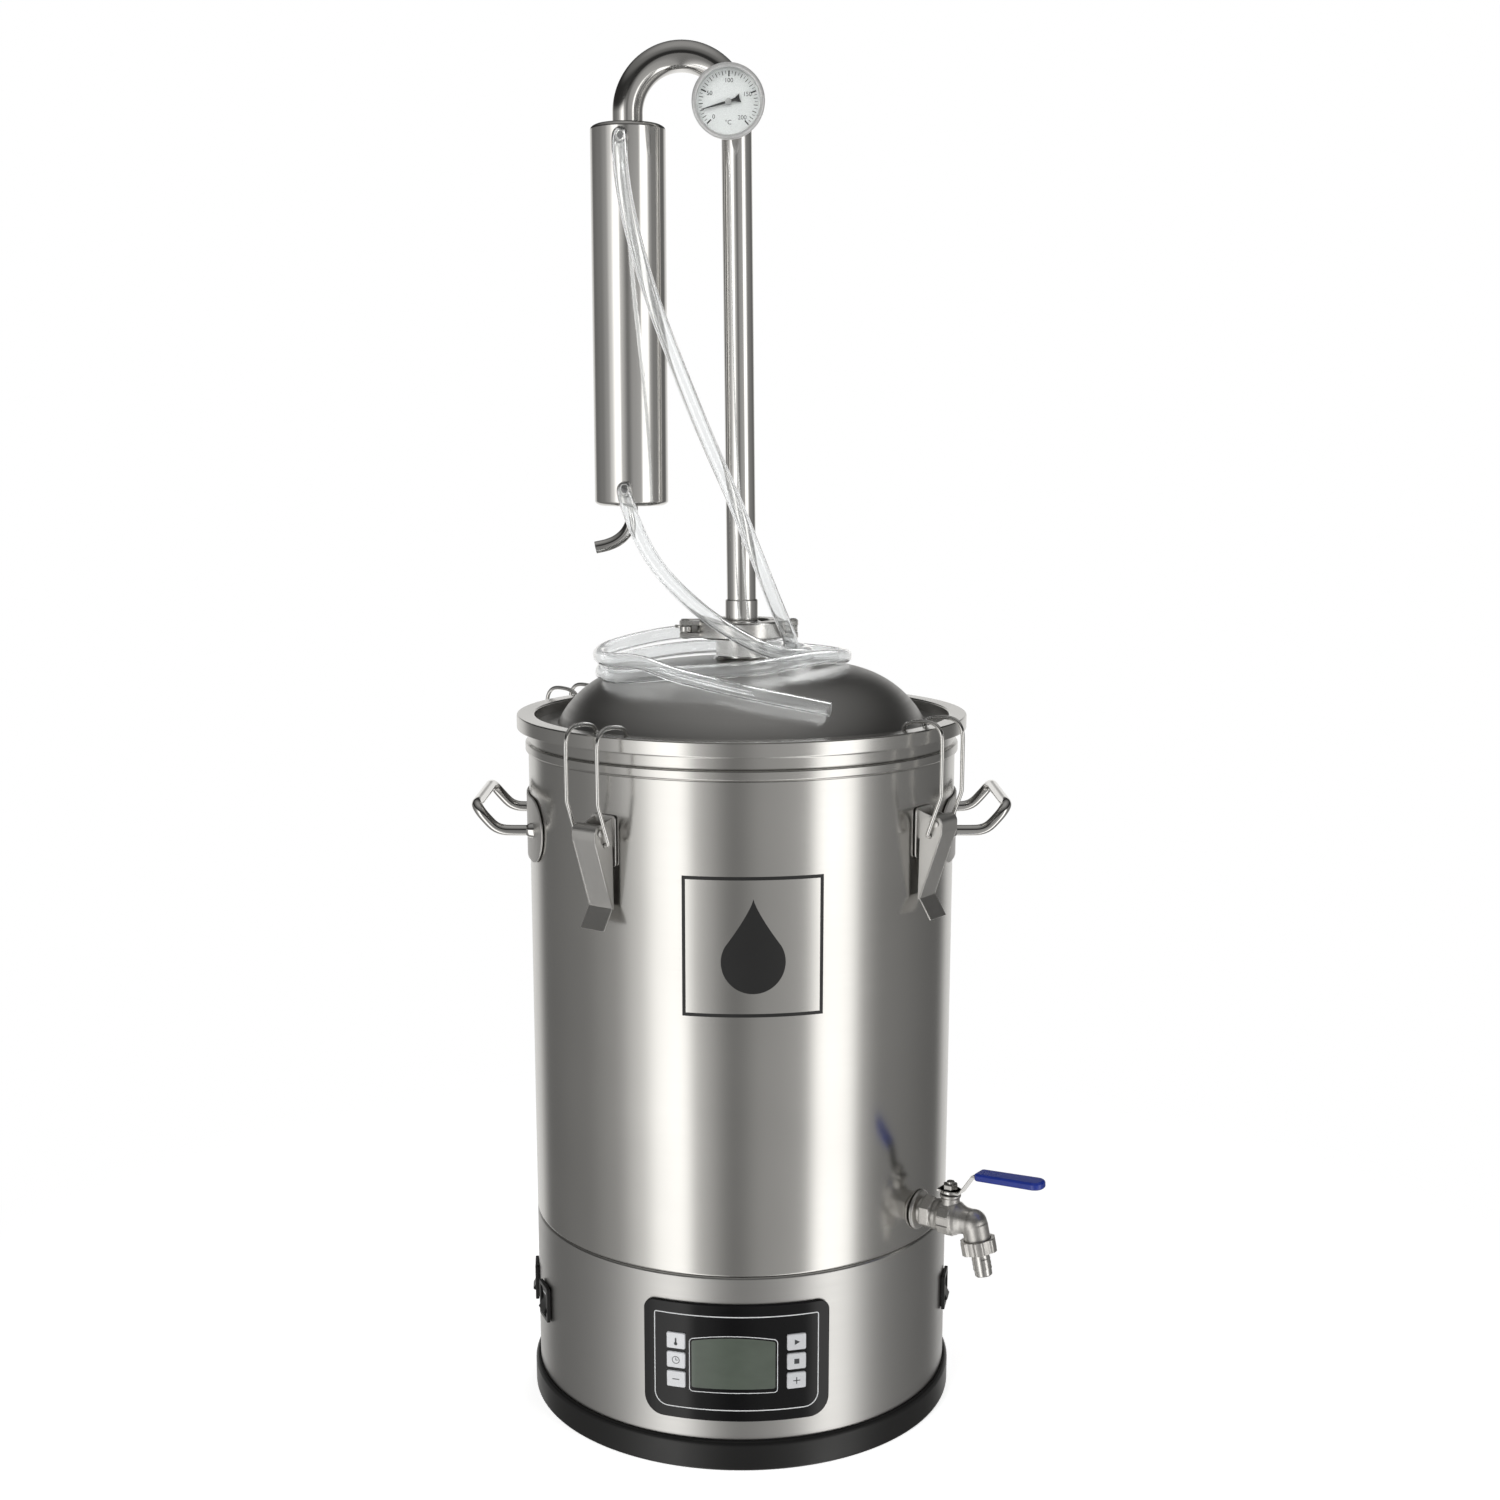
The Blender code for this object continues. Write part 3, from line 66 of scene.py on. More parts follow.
INLET_AZ, INLET_Z = 180.0, 0.075
HANDLE_Z, HANDLE_RISE, HANDLE_REACH = 0.4500, 0.0185, 0.1952
HANDLE_HALF, HANDLE_ROD_R = 0.050, 0.004
LATCH_AZ = tuple(-36.5 + 90.0 * k for k in range(4))
LATCH_PIVOT, BAIL_PIVOT, BAIL_KNEE = (0.1770, 0.4665), (0.1725, 0.4575), (0.1835, 0.4870)
BAIL_HALF, BAIL_WIRE = 0.0140, 0.0015
LEVER_HALF, LEVER_SHEET, LEVER_TIP_Z = 0.0105, 0.0011, 0.3970
TAP_AZ, TAP_Z, TAP_STEM_X, TAP_OUTLET_X, TAP_TILT = 55.0, 0.172, 0.1868, 0.2071, 13.0
TAP_BORE, BALL_R, BALL_SEAT_R = 0.0050, 0.0088, 0.0092
LEVER_TOP_Z, TAP_LEVER_END, LEVER_RISE = 0.2100, 0.2620, 0.0035
DOME_APEX, CROWN_R, KNUCKLE_R, DOME_R = 0.5725, 0.450, 0.073, 0.1455
TROUGH_Z, CHANNEL = 0.5238, (0.1550, 0.1683, 0.5218, 0.5322)
FERRULE_R, FERRULE_BORE, FLANGE_R, JOINT_Z = 0.01905, 0.0174, 0.02525, 0.5940
RISER_R, RISER_BORE, SLEEVE_R, SLEEVE_TOP = 0.01088, 0.0098, 0.0122, 0.6153
RISER_LEAN, BEND_R, BEND_Z = -0.0037, 0.03865, 0.95885
CONDENSER_X, CONDENSER_R, CONDENSER_Z = -0.0810, 0.0270, (0.6846, 0.9506)
NIPPLE_X, NIPPLE_Z, NIPPLE_TIP = -0.0840, (0.6969, 0.9387), -0.0400
CLAMP_R, CLAMP_LIP_R, CLAMP_HALF_H = 0.0332, 0.0210, 0.00645
CLAMP_BOLT_X, CLAMP_PIN_Y, CLAMP_HINGE_X = -0.0415, -0.0060, 0.0385
DIAL_X, DIAL_Z, DIAL_R, DIAL_FRONT = -0.0092, 0.9600, 0.0253, -0.0470
DIAL_START, DIAL_SWEEP, DIAL_FULL, DIAL_READING, SLOT_TURN = -134, 271, 200, 21.0, 0.6
HOSE_R, HOSE_BORE, HOSE_STEP, HOSE_SMOOTHING = 0.0055, 0.0041, 0.005, 7
MARK_AZ, MARK_Z, MARK_HALF = 2.9, 0.3888, 0.0497


def in_metres(*points):
    """Points given in millimetres."""
    return tuple(tuple(round(value / 1000, 7) for value in point) for point in points)


# Route of each cooling hose in millimetres, from its nipple to its cut end
HOSE_UPPER_ROUTE = in_metres(
    (-84, -32, 938.7), (-84, -41.2, 938.7), (-84, -50, 938), (-83.8, -60, 933.5), (-83.2, -67.5, 924),
    (-82, -71, 910), (-79.5, -71, 892), (-73, -67, 864), (-63, -61.5, 830), (-50, -56, 795),
    (-27, -49.5, 738), (-4, -45.5, 686), (9, -43.5, 654), (20.5, -41, 625), (29, -35, 604), (36, -25, 589),
    (37, -12, 580), (32.5, -1.5, 578.2), (30, 10, 578), (20, 22, 578), (6, 30, 577.9), (-12, 30.5, 577.8),
    (-29, 33.5, 577), (-47, 36, 575.2), (-67, 34, 572.5), (-85.5, 22.5, 569.5), (-98, 4, 567.4),
    (-103, -17, 565.3), (-101, -38, 563.8), (-91.5, -56.5, 563.8), (-77, -68, 565.6), (-59, -75.7, 568.2),
    (-36, -80.5, 570), (-12, -82, 571.1), (10, -77.5, 572.2), (30, -65, 574), (47, -47.5, 575.5),
    (63, -27, 575.2), (75, -4, 573.5), (79, 19, 571.5), (71, 41, 571), (54, 57, 571.4), (34, 67, 572.2),
)
HOSE_LOWER_ROUTE = in_metres(
    (-84, -32, 696.9), (-84, -41.2, 696.9), (-84, -50, 696), (-82.5, -60, 691.5), (-79, -67, 682.5),
    (-74, -70, 669), (-67, -70.5, 655), (-57.5, -69.5, 640), (-45, -67, 626.5), (-31, -63.5, 613.5),
    (-15, -59, 601), (0, -55, 591.5), (15, -50.5, 583.5), (30, -43, 578.5), (43, -30, 576.8),
    (50, -13.5, 576.3), (48, 2, 576.5), (41, 16.5, 576.9), (31, 30, 577.2), (17, 39.5, 577.3),
    (2, 45, 579.3), (-14, 47.5, 583.6), (-33, 48.5, 587.5), (-56, 43.5, 586.2), (-77, 33, 583),
    (-93, 17, 580.3), (-103, -3, 578.3), (-104.5, -25, 576.6), (-100, -45, 575.5), (-90, -61.5, 576.2),
    (-77, -74, 577.2), (-65, -83.8, 575.5), (-51, -91, 569.8), (-34.3, -98, 566.8), (-17, -106, 563),
    (2.4, -114.5, 559.7), (21, -118, 556.2), (40, -117.5, 552.4), (61, -113, 547.5),
)


# Materials

def feed(tree, node, sockets):
    """Gives each named input of a node a value, or the output that feeds it."""
    for key, value in sockets.items():
        if isinstance(value, bpy.types.NodeSocket):
            tree.links.new(value, node.inputs[key])
        else:
            node.inputs[key].default_value = value


def add_node(tree, kind, sockets=None, **settings):
    """A new node with its settings, and with its inputs fed."""
    made = tree.nodes.new(kind)
    for key, value in settings.items():
        setattr(made, key, value)
    feed(tree, made, sockets or {})
    return made


class Finish:
    """A Principled material built from a few procedural steps. slot, the record's material slot, is kept but
    not used.
    """

    def __init__(self, name, slot, colour, rough, metallic=0.0, **fixed):
        self.material = bpy.data.materials.new(name)
        self.material.use_nodes = True
        self.slot, self.colour, self.rough = slot, colour, rough
        self.tree = self.material.node_tree
        self.set(**{"Base_Color": (*colour, 1.0), "Roughness": rough, "Metallic": metallic, **fixed})

    def set(self, **sockets):
        """Sets inputs of the shader itself. Their names are written with _ for a space."""
        shader = self.tree.nodes["Principled BSDF"]
        feed(self.tree, shader, {key.replace("_", " "): value for key, value in sockets.items()})

    def node(self, kind, sockets=None, **settings):
        return add_node(self.tree, kind, sockets, **settings).outputs

    def noise(self, vector, detail):
        sockets = {"Vector": vector, "Scale": 1.0, "Detail": detail}
        return self.node("ShaderNodeTexNoise", sockets)["Fac"]

    def speckle(self, stretch, detail=3.0):
        """Noise in object coordinates, stretched evenly or along each axis."""
        scale = stretch if isinstance(stretch, tuple) else (stretch,) * 3
        coords = self.node("ShaderNodeTexCoord")["Object"]
        return self.noise(self.node("ShaderNodeMapping", {"Vector": coords, "Scale": scale})["Vector"],
                          detail)

    def rings(self, across, along, detail=3.0):
        """Noise that runs in rings about the vertical axis."""
        coords = self.node("ShaderNodeTexCoord")["Object"]
        split = self.node("ShaderNodeSeparateXYZ", {"Vector": coords})
        flat = self.node("ShaderNodeVectorMath", {0: coords, 1: (1, 1, 0)}, operation="MULTIPLY")[0]
        length = self.node("ShaderNodeVectorMath", {0: flat}, operation="LENGTH")["Value"]
        scaled = {key: self.node("ShaderNodeMath", {0: source, 1: factor}, operation="MULTIPLY")[0]
                  for key, source, factor in (("X", length, across), ("Y", split["X"], along),
                                              ("Z", split["Y"], along))}
        return self.noise(self.node("ShaderNodeCombineXYZ", scaled)["Vector"], detail)

    def spread(self, factor, low, high):
        """Maps the middle of a noise's range to low..high."""
        sockets = {"Value": factor, "From Min": 0.3, "From Max": 0.7, "To Min": low, "To Max": high}
        return self.node("ShaderNodeMapRange", sockets)["Result"]

    def vary_rough(self, factor, low, high):
        """Roughness between two multiples of its own value."""
        self.set(Roughness=self.spread(factor, self.rough * low, self.rough * high))

    def vary_colour(self, factor, low, high):
        """Colour between two multiples of its own value."""
        one, other = [(*[min(1, c * level) for c in self.colour], 1) for level in (low, high)]
        sockets = {"Factor": self.spread(factor, 0.0, 1.0), "A": one, "B": other}
        self.set(Base_Color=self.node("ShaderNodeMix", sockets, data_type="RGBA")["Result"])

    def bump(self, factor, strength, distance=0.0002):
        sockets = {"Height": factor, "Strength": strength, "Distance": distance}
        self.set(Normal=self.node("ShaderNodeBump", sockets)["Normal"])


def brushed(name, slot, colour, rough, stretch, grain=0.10, wear=0.10):
    """Metal with a fine grain drawn out along one way, and faint handling marks."""
    made = Finish(name, slot, colour, rough, 1.0)
    fine = made.speckle(stretch)
    made.vary_rough(fine, 1 - wear, 1 + wear)
    made.vary_colour(made.speckle(7.0), 0.95, 1.03)
    made.bump(fine, grain)
    return made


def spun(name, slot, colour, rough, grain):
    """Metal turned on a lathe: the grain runs in rings."""
    made = Finish(name, slot, colour, rough, 1.0)
    fine = made.rings(1500.0, 9.0)
    made.vary_rough(fine, 0.88, 1.12)
    made.vary_colour(made.speckle(9.0), 0.94, 1.04)
    made.bump(fine, grain)
    return made


def cast(name, slot, colour, rough, size, grain):
    """Bead-blasted casting: a fine even pebble."""
    made = Finish(name, slot, colour, rough, 1.0)
    fine = made.speckle(size, 2.0)
    made.vary_rough(made.speckle(60.0), 0.85, 1.15)
    made.vary_colour(fine, 0.92, 1.05)
    made.bump(fine, grain, 0.0001)
    return made


def moulded(name, slot, colour, rough, size, grain, **fixed):
    """Plastic, rubber or paint with a fine texture and slightly uneven gloss."""
    made = Finish(name, slot, colour, rough, **fixed)
    fine = made.speckle(size, 2.0)
    made.vary_rough(made.speckle(25.0), 0.88, 1.12)
    made.vary_colour(fine, 0.90, 1.10)
    made.bump(fine, grain, 0.0001)
    return made


def smooth(name, slot, colour, rough, patches, rough_range, colour_range, **fixed):
    """Glass or clear plastic, with no bump."""
    made = Finish(name, slot, colour, rough, **fixed)
    colour_patches, rough_patches = patches
    made.vary_colour(made.speckle(colour_patches), *colour_range)
    made.vary_rough(made.speckle(rough_patches), *rough_range)
    return made


STEEL = (0.640, 0.632, 0.612)
BODY_STEEL = brushed("body_steel", "brushed_steel", STEEL, 0.20, (5, 5, 1800), 0.028, 0.07)
CASING_STEEL = brushed("casing_steel", "brushed_steel", (0.600, 0.594, 0.580), 0.34, (6, 6, 1800), 0.035,
                       0.08)
BAND_STEEL = brushed("band_steel", "brushed_steel", (0.68, 0.672, 0.652), 0.20, (6, 6, 2000), 0.03)
DOME_STEEL = spun("dome_steel", "brushed_steel", (0.52, 0.515, 0.505), 0.36, 0.06)
SHEET_STEEL = brushed("sheet_steel", "brushed_steel", (0.80, 0.79, 0.77), 0.44, (700, 700, 20), 0.05)
PIPE_STEEL = brushed("pipe_steel", "polished_steel", (0.74, 0.732, 0.715), 0.11, (500, 500, 4), 0.02)
JACKET_STEEL = brushed("jacket_steel", "polished_steel", (0.73, 0.722, 0.705), 0.12, (500, 500, 4), 0.02)
WIRE_STEEL = brushed("wire_steel", "polished_steel", (0.76, 0.752, 0.735), 0.18, (60, 60, 60), 0.02)
FERRULE_STEEL = brushed("ferrule_steel", "polished_steel", (0.70, 0.69, 0.67), 0.20, (20, 20, 2200), 0.10)
CAST_STEEL = cast("cast_steel", "cast_steel", (0.74, 0.725, 0.70), 0.42, 900.0, 0.22)
CLAMP_STEEL = cast("clamp_steel", "polished_steel", (0.70, 0.69, 0.67), 0.26, 700.0, 0.14)
BEZEL_STEEL = moulded("bezel_steel", "polished_steel", (0.66, 0.66, 0.655), 0.30, 1500.0, 0.04, Metallic=0.55)
SHEET_ALUMINIUM = brushed("sheet_aluminium", "aluminium", (0.70, 0.70, 0.71), 0.38, (20, 1500, 20), 0.15)
FOOT_RUBBER = moulded("foot_rubber", "black_rubber", (0.005, 0.005, 0.005), 0.36, 900.0, 0.12)
GLOSS_BLACK = moulded("gloss_black", "black_plastic", (0.003, 0.003, 0.0035), 0.12, 300.0, 0.02,
                      Specular_IOR_Level=0.30)
SATIN_BLACK = moulded("satin_black", "black_plastic", (0.010, 0.010, 0.010), 0.34, 1500.0, 0.15)
MARK_INK = moulded("mark_ink", "black_plastic", (0.012, 0.012, 0.012), 0.45, 1800.0, 0.08)
BLUE_VINYL = moulded("blue_vinyl", "blue_vinyl", (0.010, 0.030, 0.260), 0.28, 500.0, 0.10, Coat_Weight=0.4,
                     Coat_Roughness=0.12)
SILVER_PAINT = moulded("silver_paint", "button_silver", (0.66, 0.67, 0.69), 0.36, 2500.0, 0.08, Metallic=0.35)
LINE_INK = moulded("line_ink", "button_silver", (0.72, 0.73, 0.74), 0.40, 1500.0, 0.03)
ICON_INK = moulded("icon_ink", "dark_paint", (0.035, 0.037, 0.042), 0.5, 1500.0, 0.03)
SEAL = moulded("seal_silicone", "silicone", (0.80, 0.80, 0.78), 0.45, 600.0, 0.08, Subsurface_Weight=0.1)
BOARD = moulded("board_green", "green_board", (0.03, 0.16, 0.07), 0.4, 500.0, 0.1)
DIAL_FACE = moulded("dial_face", "polished_steel", (0.66, 0.67, 0.665), 0.55, 1500.0, 0.03)
HUB_STEEL = cast("hub_steel", "polished_steel", (0.36, 0.36, 0.355), 0.40, 600.0, 0.05)
NEEDLE_PAINT = moulded("needle_paint", "dark_paint", (0.02, 0.02, 0.02), 0.42, 1500.0, 0.05)
# Painted shade: a near-black finish for the discs that stand in for the shadow down the nipples' bores.
PAINTED_BORE_SHADE = moulded("bore_shadow", "dark_paint", (0.01, 0.01, 0.01), 0.8, 300.0, 0.05)


LCD_FILM = smooth("lcd_film", "lcd_glass", (0.080, 0.098, 0.078), 0.10, ((40, 40, 70), 30), (0.9, 1.5),
                  (0.92, 1.08), Coat_Weight=0.6, Coat_Roughness=0.05)
HOSE_CLEAR = smooth("hose_clear", "clear_hose", (0.965, 0.972, 0.972), 0.02, ((20, 20, 10), 20), (0.8, 1.3),
                    (0.97, 1.0), Transmission_Weight=0.95, IOR=1.16, Coat_Weight=1.0, Coat_Roughness=0.05)
DIAL_GLASS = smooth("dial_glass", "clear_glass", (0.98, 0.99, 0.985), 0.02, ((12, 12, 6), 12), (0.8, 1.3),
                    (0.97, 1.0), Transmission_Weight=1.0, IOR=1.12)


# Shapes

def shift(x, y, z):
    return Matrix.Translation((x, y, z))


def rotate(degrees, axis):
    return Matrix.Rotation(math.radians(degrees), 4, axis)


def radial(azimuth):
    """Local +X points outward at this azimuth and +Z up."""
    return rotate(azimuth - 90.0, "Z")


def along_x(z):
    return shift(0, 0, z) @ rotate(90, "Y")


def along_y(x, z):
    """Sets a piece turned about Z on an axis that runs along -Y."""
    return shift(x, 0, z) @ rotate(90, "X")


SIDE = Matrix(((1, 0, 0, 0), (0, 0, -1, 0), (0, 1, 0, 0), (0, 0, 0, 1)))
OUTWARD = Matrix(((0, 0, 1, 0), (1, 0, 0, 0), (0, 1, 0, 0), (0, 0, 0, 1)))


def arc(centre, radius, start, end, steps):
    angles = [math.radians(start + (end - start) * k / steps) for k in range(steps + 1)]
    return [(centre[0] + radius * math.cos(a), centre[1] + radius * math.sin(a)) for a in angles]


def softened(points, radius, steps=3):
    """A closed outline with its corners eased. Points on the turning axis stay as they are."""
    out = []
    for k, given in enumerate(points):
        here, before, after = Vector(given), Vector(points[k - 1]), Vector(points[(k + 1) % len(points)])
        turn = (before - here).angle(after - here, math.pi)
        if abs(here.x) < 1e-7 or turn > 2.9:
            out.append(tuple(here))
            continue
        start = here + (before - here).normalized() * min(radius, 0.45 * (before - here).length)
        end = here + (after - here).normalized() * min(radius, 0.45 * (after - here).length)
        for step in range(steps + 1):
            t = step / steps
            out.append(tuple((1 - t)**2 * start + 2 * t * (1 - t) * here + t * t * end))
    return out


def raised(outline, rise):
    return [(x, y + rise) for x, y in outline]


def rounded_box(half_x, half_y, top, bottom, steps=8):
    points = []
    for side, level, start, radius in ((1, 1, 0, top), (-1, 1, 90, top), (-1, -1, 180, bottom),
                                       (1, -1, 270, bottom)):
        points += arc((side * (half_x - radius), level * (half_y - radius)), radius, start, start + 90, steps)
    return points


def turned(profile, segments=FINE, matrix=None, start=0.0, end=360.0):
    """A closed (radius, height) outline turned about Z, all the way or as an arc with flat ends."""
    shape, rings, whole = bmesh.new(), [], end - start >= 360.0
    count = segments if whole else segments + 1
    angles = [math.radians(start + (end - start) * k / segments) for k in range(count)]
    for radius, height in profile:
        if radius < 1e-7:
            rings.append([shape.verts.new((0, 0, height))])
        else:
            rings.append([shape.verts.new((radius * math.cos(a), radius * math.sin(a),
                                           height)) for a in angles])
    for one, other in zip(rings, rings[1:] + rings[:1]):
        if len(one) == 1 and len(other) == 1:
            continue
        for k in range(segments):
            after = (k + 1) % count
            corners = [one[k % len(one)], one[after % len(one)], other[after % len(other)],
                       other[k % len(other)]]
            shape.faces.new(list(dict.fromkeys(corners)))
    if not whole:
        shape.faces.new([ring[0] for ring in rings])
        shape.faces.new([ring[-1] for ring in rings])
    return moved(shape, matrix)


def cylinder(radius, low, high, segments=COARSE, matrix=None):
    return turned([(0, low), (radius, low), (radius, high), (0, high)], segments, matrix)


def sphere(radius, reach, segments, matrix):
    """A ball whose outline runs from -reach to reach degrees, closed on the axis."""
    return turned([(0, -radius)] + arc((0, 0), radius, -reach, reach, 16) + [(0, radius)], segments, matrix)


def moved(shape, matrix):
    if matrix:
        bmesh.ops.transform(shape, matrix=matrix, verts=shape.verts)
    return shape


def prism(outline, low, high, matrix=None, hole=None):
    """A flat outline extruded along Z, with an optional hole whose outline has as many points."""
    shape = bmesh.new()
    loops = [[[shape.verts.new((x, y, z)) for x, y in line] for z in (low, high)] for line in (outline,
                                                                                               hole) if line]
    count = len(outline)
    for base, top in loops:
        for k in range(count):
            shape.faces.new((base[k], base[(k + 1) % count], top[(k + 1) % count], top[k]))
    for level in (0, 1):
        if hole:
            outer, inner = loops[0][level], loops[1][level]
            for k in range(count):
                shape.faces.new((outer[k], outer[(k + 1) % count], inner[(k + 1) % count], inner[k]))
        else:
            shape.faces.new(loops[0][level])
    return moved(shape, matrix)


def block(low, high, matrix=None):
    return prism(((low[0], low[1]), (high[0], low[1]), (high[0], high[1]), (low[0], high[1])), low[2],
                 high[2], matrix)


def eased(shape, width, segments=3, angle=30.0):
    """Rounds the sharp edges of a shape."""
    bmesh.ops.recalc_face_normals(shape, faces=shape.faces)
    edges = [e for e in shape.edges if len(e.link_faces) == 2 and e.calc_face_angle(0) > math.radians(angle)]
    bmesh.ops.bevel(shape, geom=edges, offset=width, segments=segments, profile=0.5, affect="EDGES",
                    clamp_overlap=True)
    return shape


def bent(shape, azimuth, radius, step=0.004):
    """Lays a flat shape, given as (across, up, outward), on a cylinder about the kettle's axis."""
    reach = max(abs(v.co.x) for v in shape.verts)
    for k in range(-int(reach / step), int(reach / step) + 1):
        geom = shape.verts[:] + shape.edges[:] + shape.faces[:]
        bmesh.ops.bisect_plane(shape, geom=geom, plane_co=(k * step, 0, 0), plane_no=(1, 0, 0))
    for v in shape.verts:
        across, up, out = v.co
        angle = math.radians(azimuth) + across / radius
        v.co = ((radius + out) * math.sin(angle), -(radius + out) * math.cos(angle), up)
    return shape


def smooth_path(points, step):
    """Points a step apart along a Catmull-Rom curve through the given ones."""
    given = [Vector(p) for p in points]
    ends = [2 * given[0] - given[1]] + given + [2 * given[-1] - given[-2]]
    fine = []
    for a, b, c, d in zip(ends, ends[1:], ends[2:], ends[3:]):
        for k in range(20):
            t = k / 20
            cubic = (3 * b - a - 3 * c + d) * t**3
            fine.append(0.5 * (2 * b + (c - a) * t + (2 * a - 5 * b + 4 * c - d) * t**2 + cubic))
    fine.append(given[-1])
    run = [0.0]
    for one, other in zip(fine, fine[1:]):
        run.append(run[-1] + (other - one).length)
    count, path, at = max(1, round(run[-1] / step)), [], 0
    for k in range(count + 1):
        want = run[-1] * k / count
        while at < len(run) - 2 and run[at + 1] < want:
            at += 1
        path.append(fine[at].lerp(fine[at + 1], (want - run[at]) / (run[at + 1] - run[at])))
    return path


def tube(path, radii, sides=COARSE, bores=None, matrix=None):
    """A round tube along a path, with a radius at each point, solid or with a bore open at both ends."""
    path = [Vector(p) for p in path]
    tangents = [(b - a).normalized() for a, b in zip(path[:1] + path[:-1], path[1:] + path[-1:])]
    across = tangents[0].orthogonal().normalized()
    shape, layers = bmesh.new(), [[], []] if bores else [[]]
    for point, tangent, outer, inner in zip(path, tangents, radii, bores or radii):
        across = (across - tangent * across.dot(tangent)).normalized()
        up = tangent.cross(across)
        for layer, radius in zip(layers, (outer, inner)):
            angles = [2 * math.pi * k / sides for k in range(sides)]
            layer.append([shape.verts.new(point + radius * (math.cos(a) * across + math.sin(a) * up))
                          for a in angles])
    for layer in layers:
        for one, other in zip(layer, layer[1:]):
            for k in range(sides):
                shape.faces.new((one[k], one[(k + 1) % sides], other[(k + 1) % sides], other[k]))
    for end in (0, -1):
        if bores:
            outer, inner = layers[0][end], layers[1][end]
            for k in range(sides):
                shape.faces.new((outer[k], outer[(k + 1) % sides], inner[(k + 1) % sides], inner[k]))
        else:
            shape.faces.new(layers[0][end])
    return moved(shape, matrix)


def merged(*shapes):
    """Several closed shapes in one mesh."""
    whole = bmesh.new()
    for shape in shapes:
        bmesh.ops.recalc_face_normals(shape, faces=shape.faces)
        mesh = bpy.data.meshes.new("part")
        shape.to_mesh(mesh)
        shape.free()
        whole.from_mesh(mesh)
        bpy.data.meshes.remove(mesh)
    return whole


def joined(name, shapes, cuts=(), voxel=0.0, relax=0):
    """Booleans closed shapes into one body, and optionally softens its edges as a casting's are."""
    holder = bpy.data.objects.new(name, mesh_of(name, shapes[0]))
    bpy.context.scene.collection.objects.link(holder)
    tools = []
    for operation, group in (("UNION", shapes[1:]), ("DIFFERENCE", cuts)):
        for number, shape in enumerate(group):
            tool = bpy.data.objects.new(f"{name}_tool", mesh_of(f"{name}_tool", shape))
            bpy.context.scene.collection.objects.link(tool)
            step = holder.modifiers.new(f"{operation}_{number}", "BOOLEAN")
            step.operation, step.solver, step.object = operation, "EXACT", tool
            tools.append(tool)
    if voxel:
        remesh = holder.modifiers.new("cast", "REMESH")
        remesh.mode, remesh.voxel_size = "VOXEL", voxel
        relaxed = holder.modifiers.new("relax", "SMOOTH")
        relaxed.factor, relaxed.iterations = 0.5, relax
    result = bmesh.new()
    result.from_object(holder, bpy.context.evaluated_depsgraph_get())
    for used in [holder] + tools:
        bpy.data.objects.remove(used)
    return result


def mesh_of(name, shape):
    bmesh.ops.recalc_face_normals(shape, faces=shape.faces)
    mesh = bpy.data.meshes.new(name)
    shape.to_mesh(mesh)
    shape.free()
    return mesh


def piece(name, shape, finish, body, *replaced, sharp=35.0):
    """Makes a shown piece that rides on a body, and may stand for CAD nodes."""
    mesh = mesh_of(name, shape)
    mesh.materials.append(finish.material)
    mesh.shade_smooth()
    mesh.set_sharp_from_angle(angle=math.radians(sharp))
    obj = bpy.data.objects.new(name, mesh)
    bpy.context.scene.collection.objects.link(obj)
    weighted = obj.modifiers.new("normals", "WEIGHTED_NORMAL")
    weighted.keep_sharp = True
    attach(obj, body)
    if replaced:
        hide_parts(*replaced)
    return obj


def printed(name, outline, azimuth, radius, ink, inner=None, top=PANEL_INK, step=0.004):
    """A thin print of one outline, or of the line between two, laid round the kettle's axis."""
    return piece(name, bent(prism(outline, INK_GAP, top, None, inner), azimuth, radius, step), ink, "kettle")


def carried(finish, *nodes):
    """Gives CAD nodes that stay in view their material."""
    for name in nodes:
        slots = frame["nodes"][name].data.materials
        slots.clear()
        slots.append(finish.material)


# Kettle and base

def kettle_shell():
    low, high = GROOVE_Z
    inner = BODY_R - WALL
    out = BODY_R + BEAD_OUT
    profile = [
        (0, SEAM_Z), (BODY_R - 0.0009, SEAM_Z), (BODY_R, SEAM_Z + 0.0012), (BODY_R, low - 0.0006),
        (BODY_R - 0.0004, low),
        (out, low + 0.0009), (out, high - 0.0009), (BODY_R - 0.0004, high), (BODY_R, high + 0.0006),
        (BODY_R, RIM_Z - 0.0035), (RIM_R + RIM_BEAD, RIM_Z - 0.0010), (RIM_R + 0.0022, RIM_Z + 0.0028),
        (inner, RIM_Z + 0.0028), (inner, high), (inner + BEAD_OUT, high - 0.0018),
        (inner + BEAD_OUT, low + 0.0018),
        (inner, low), (inner, SEAM_Z + 0.012), (inner - 0.008, SEAM_Z + WALL), (0, SEAM_Z + WALL),
    ]
    piece("kettle_shell_fine", turned(softened(profile, 0.0009), ROUND), BODY_STEEL, "kettle", "kettle_shell")


def base_casing():
    inner, top = BODY_R - WALL, SEAM_Z - GAP
    profile = [
        (BODY_R, CASING_BOTTOM), (BODY_R, top - 0.0014), (BODY_R - 0.0012, top), (CASING_FLANGE_R, top),
        (CASING_FLANGE_R, top - WALL), (inner, top - WALL), (inner, CASING_BOTTOM),
    ]
    inlet = radial(INLET_AZ) @ shift(0, 0, INLET_Z) @ OUTWARD
    opening = prism(rounded_box(0.0138, 0.0103, 0.0030, 0.0010, 5), 0.150, 0.165, inlet)
    wall = joined("casing", [turned(softened(profile, 0.0007), ROUND)], [opening])
    piece("base_casing_fine", wall, CASING_STEEL, "kettle", "base_casing")


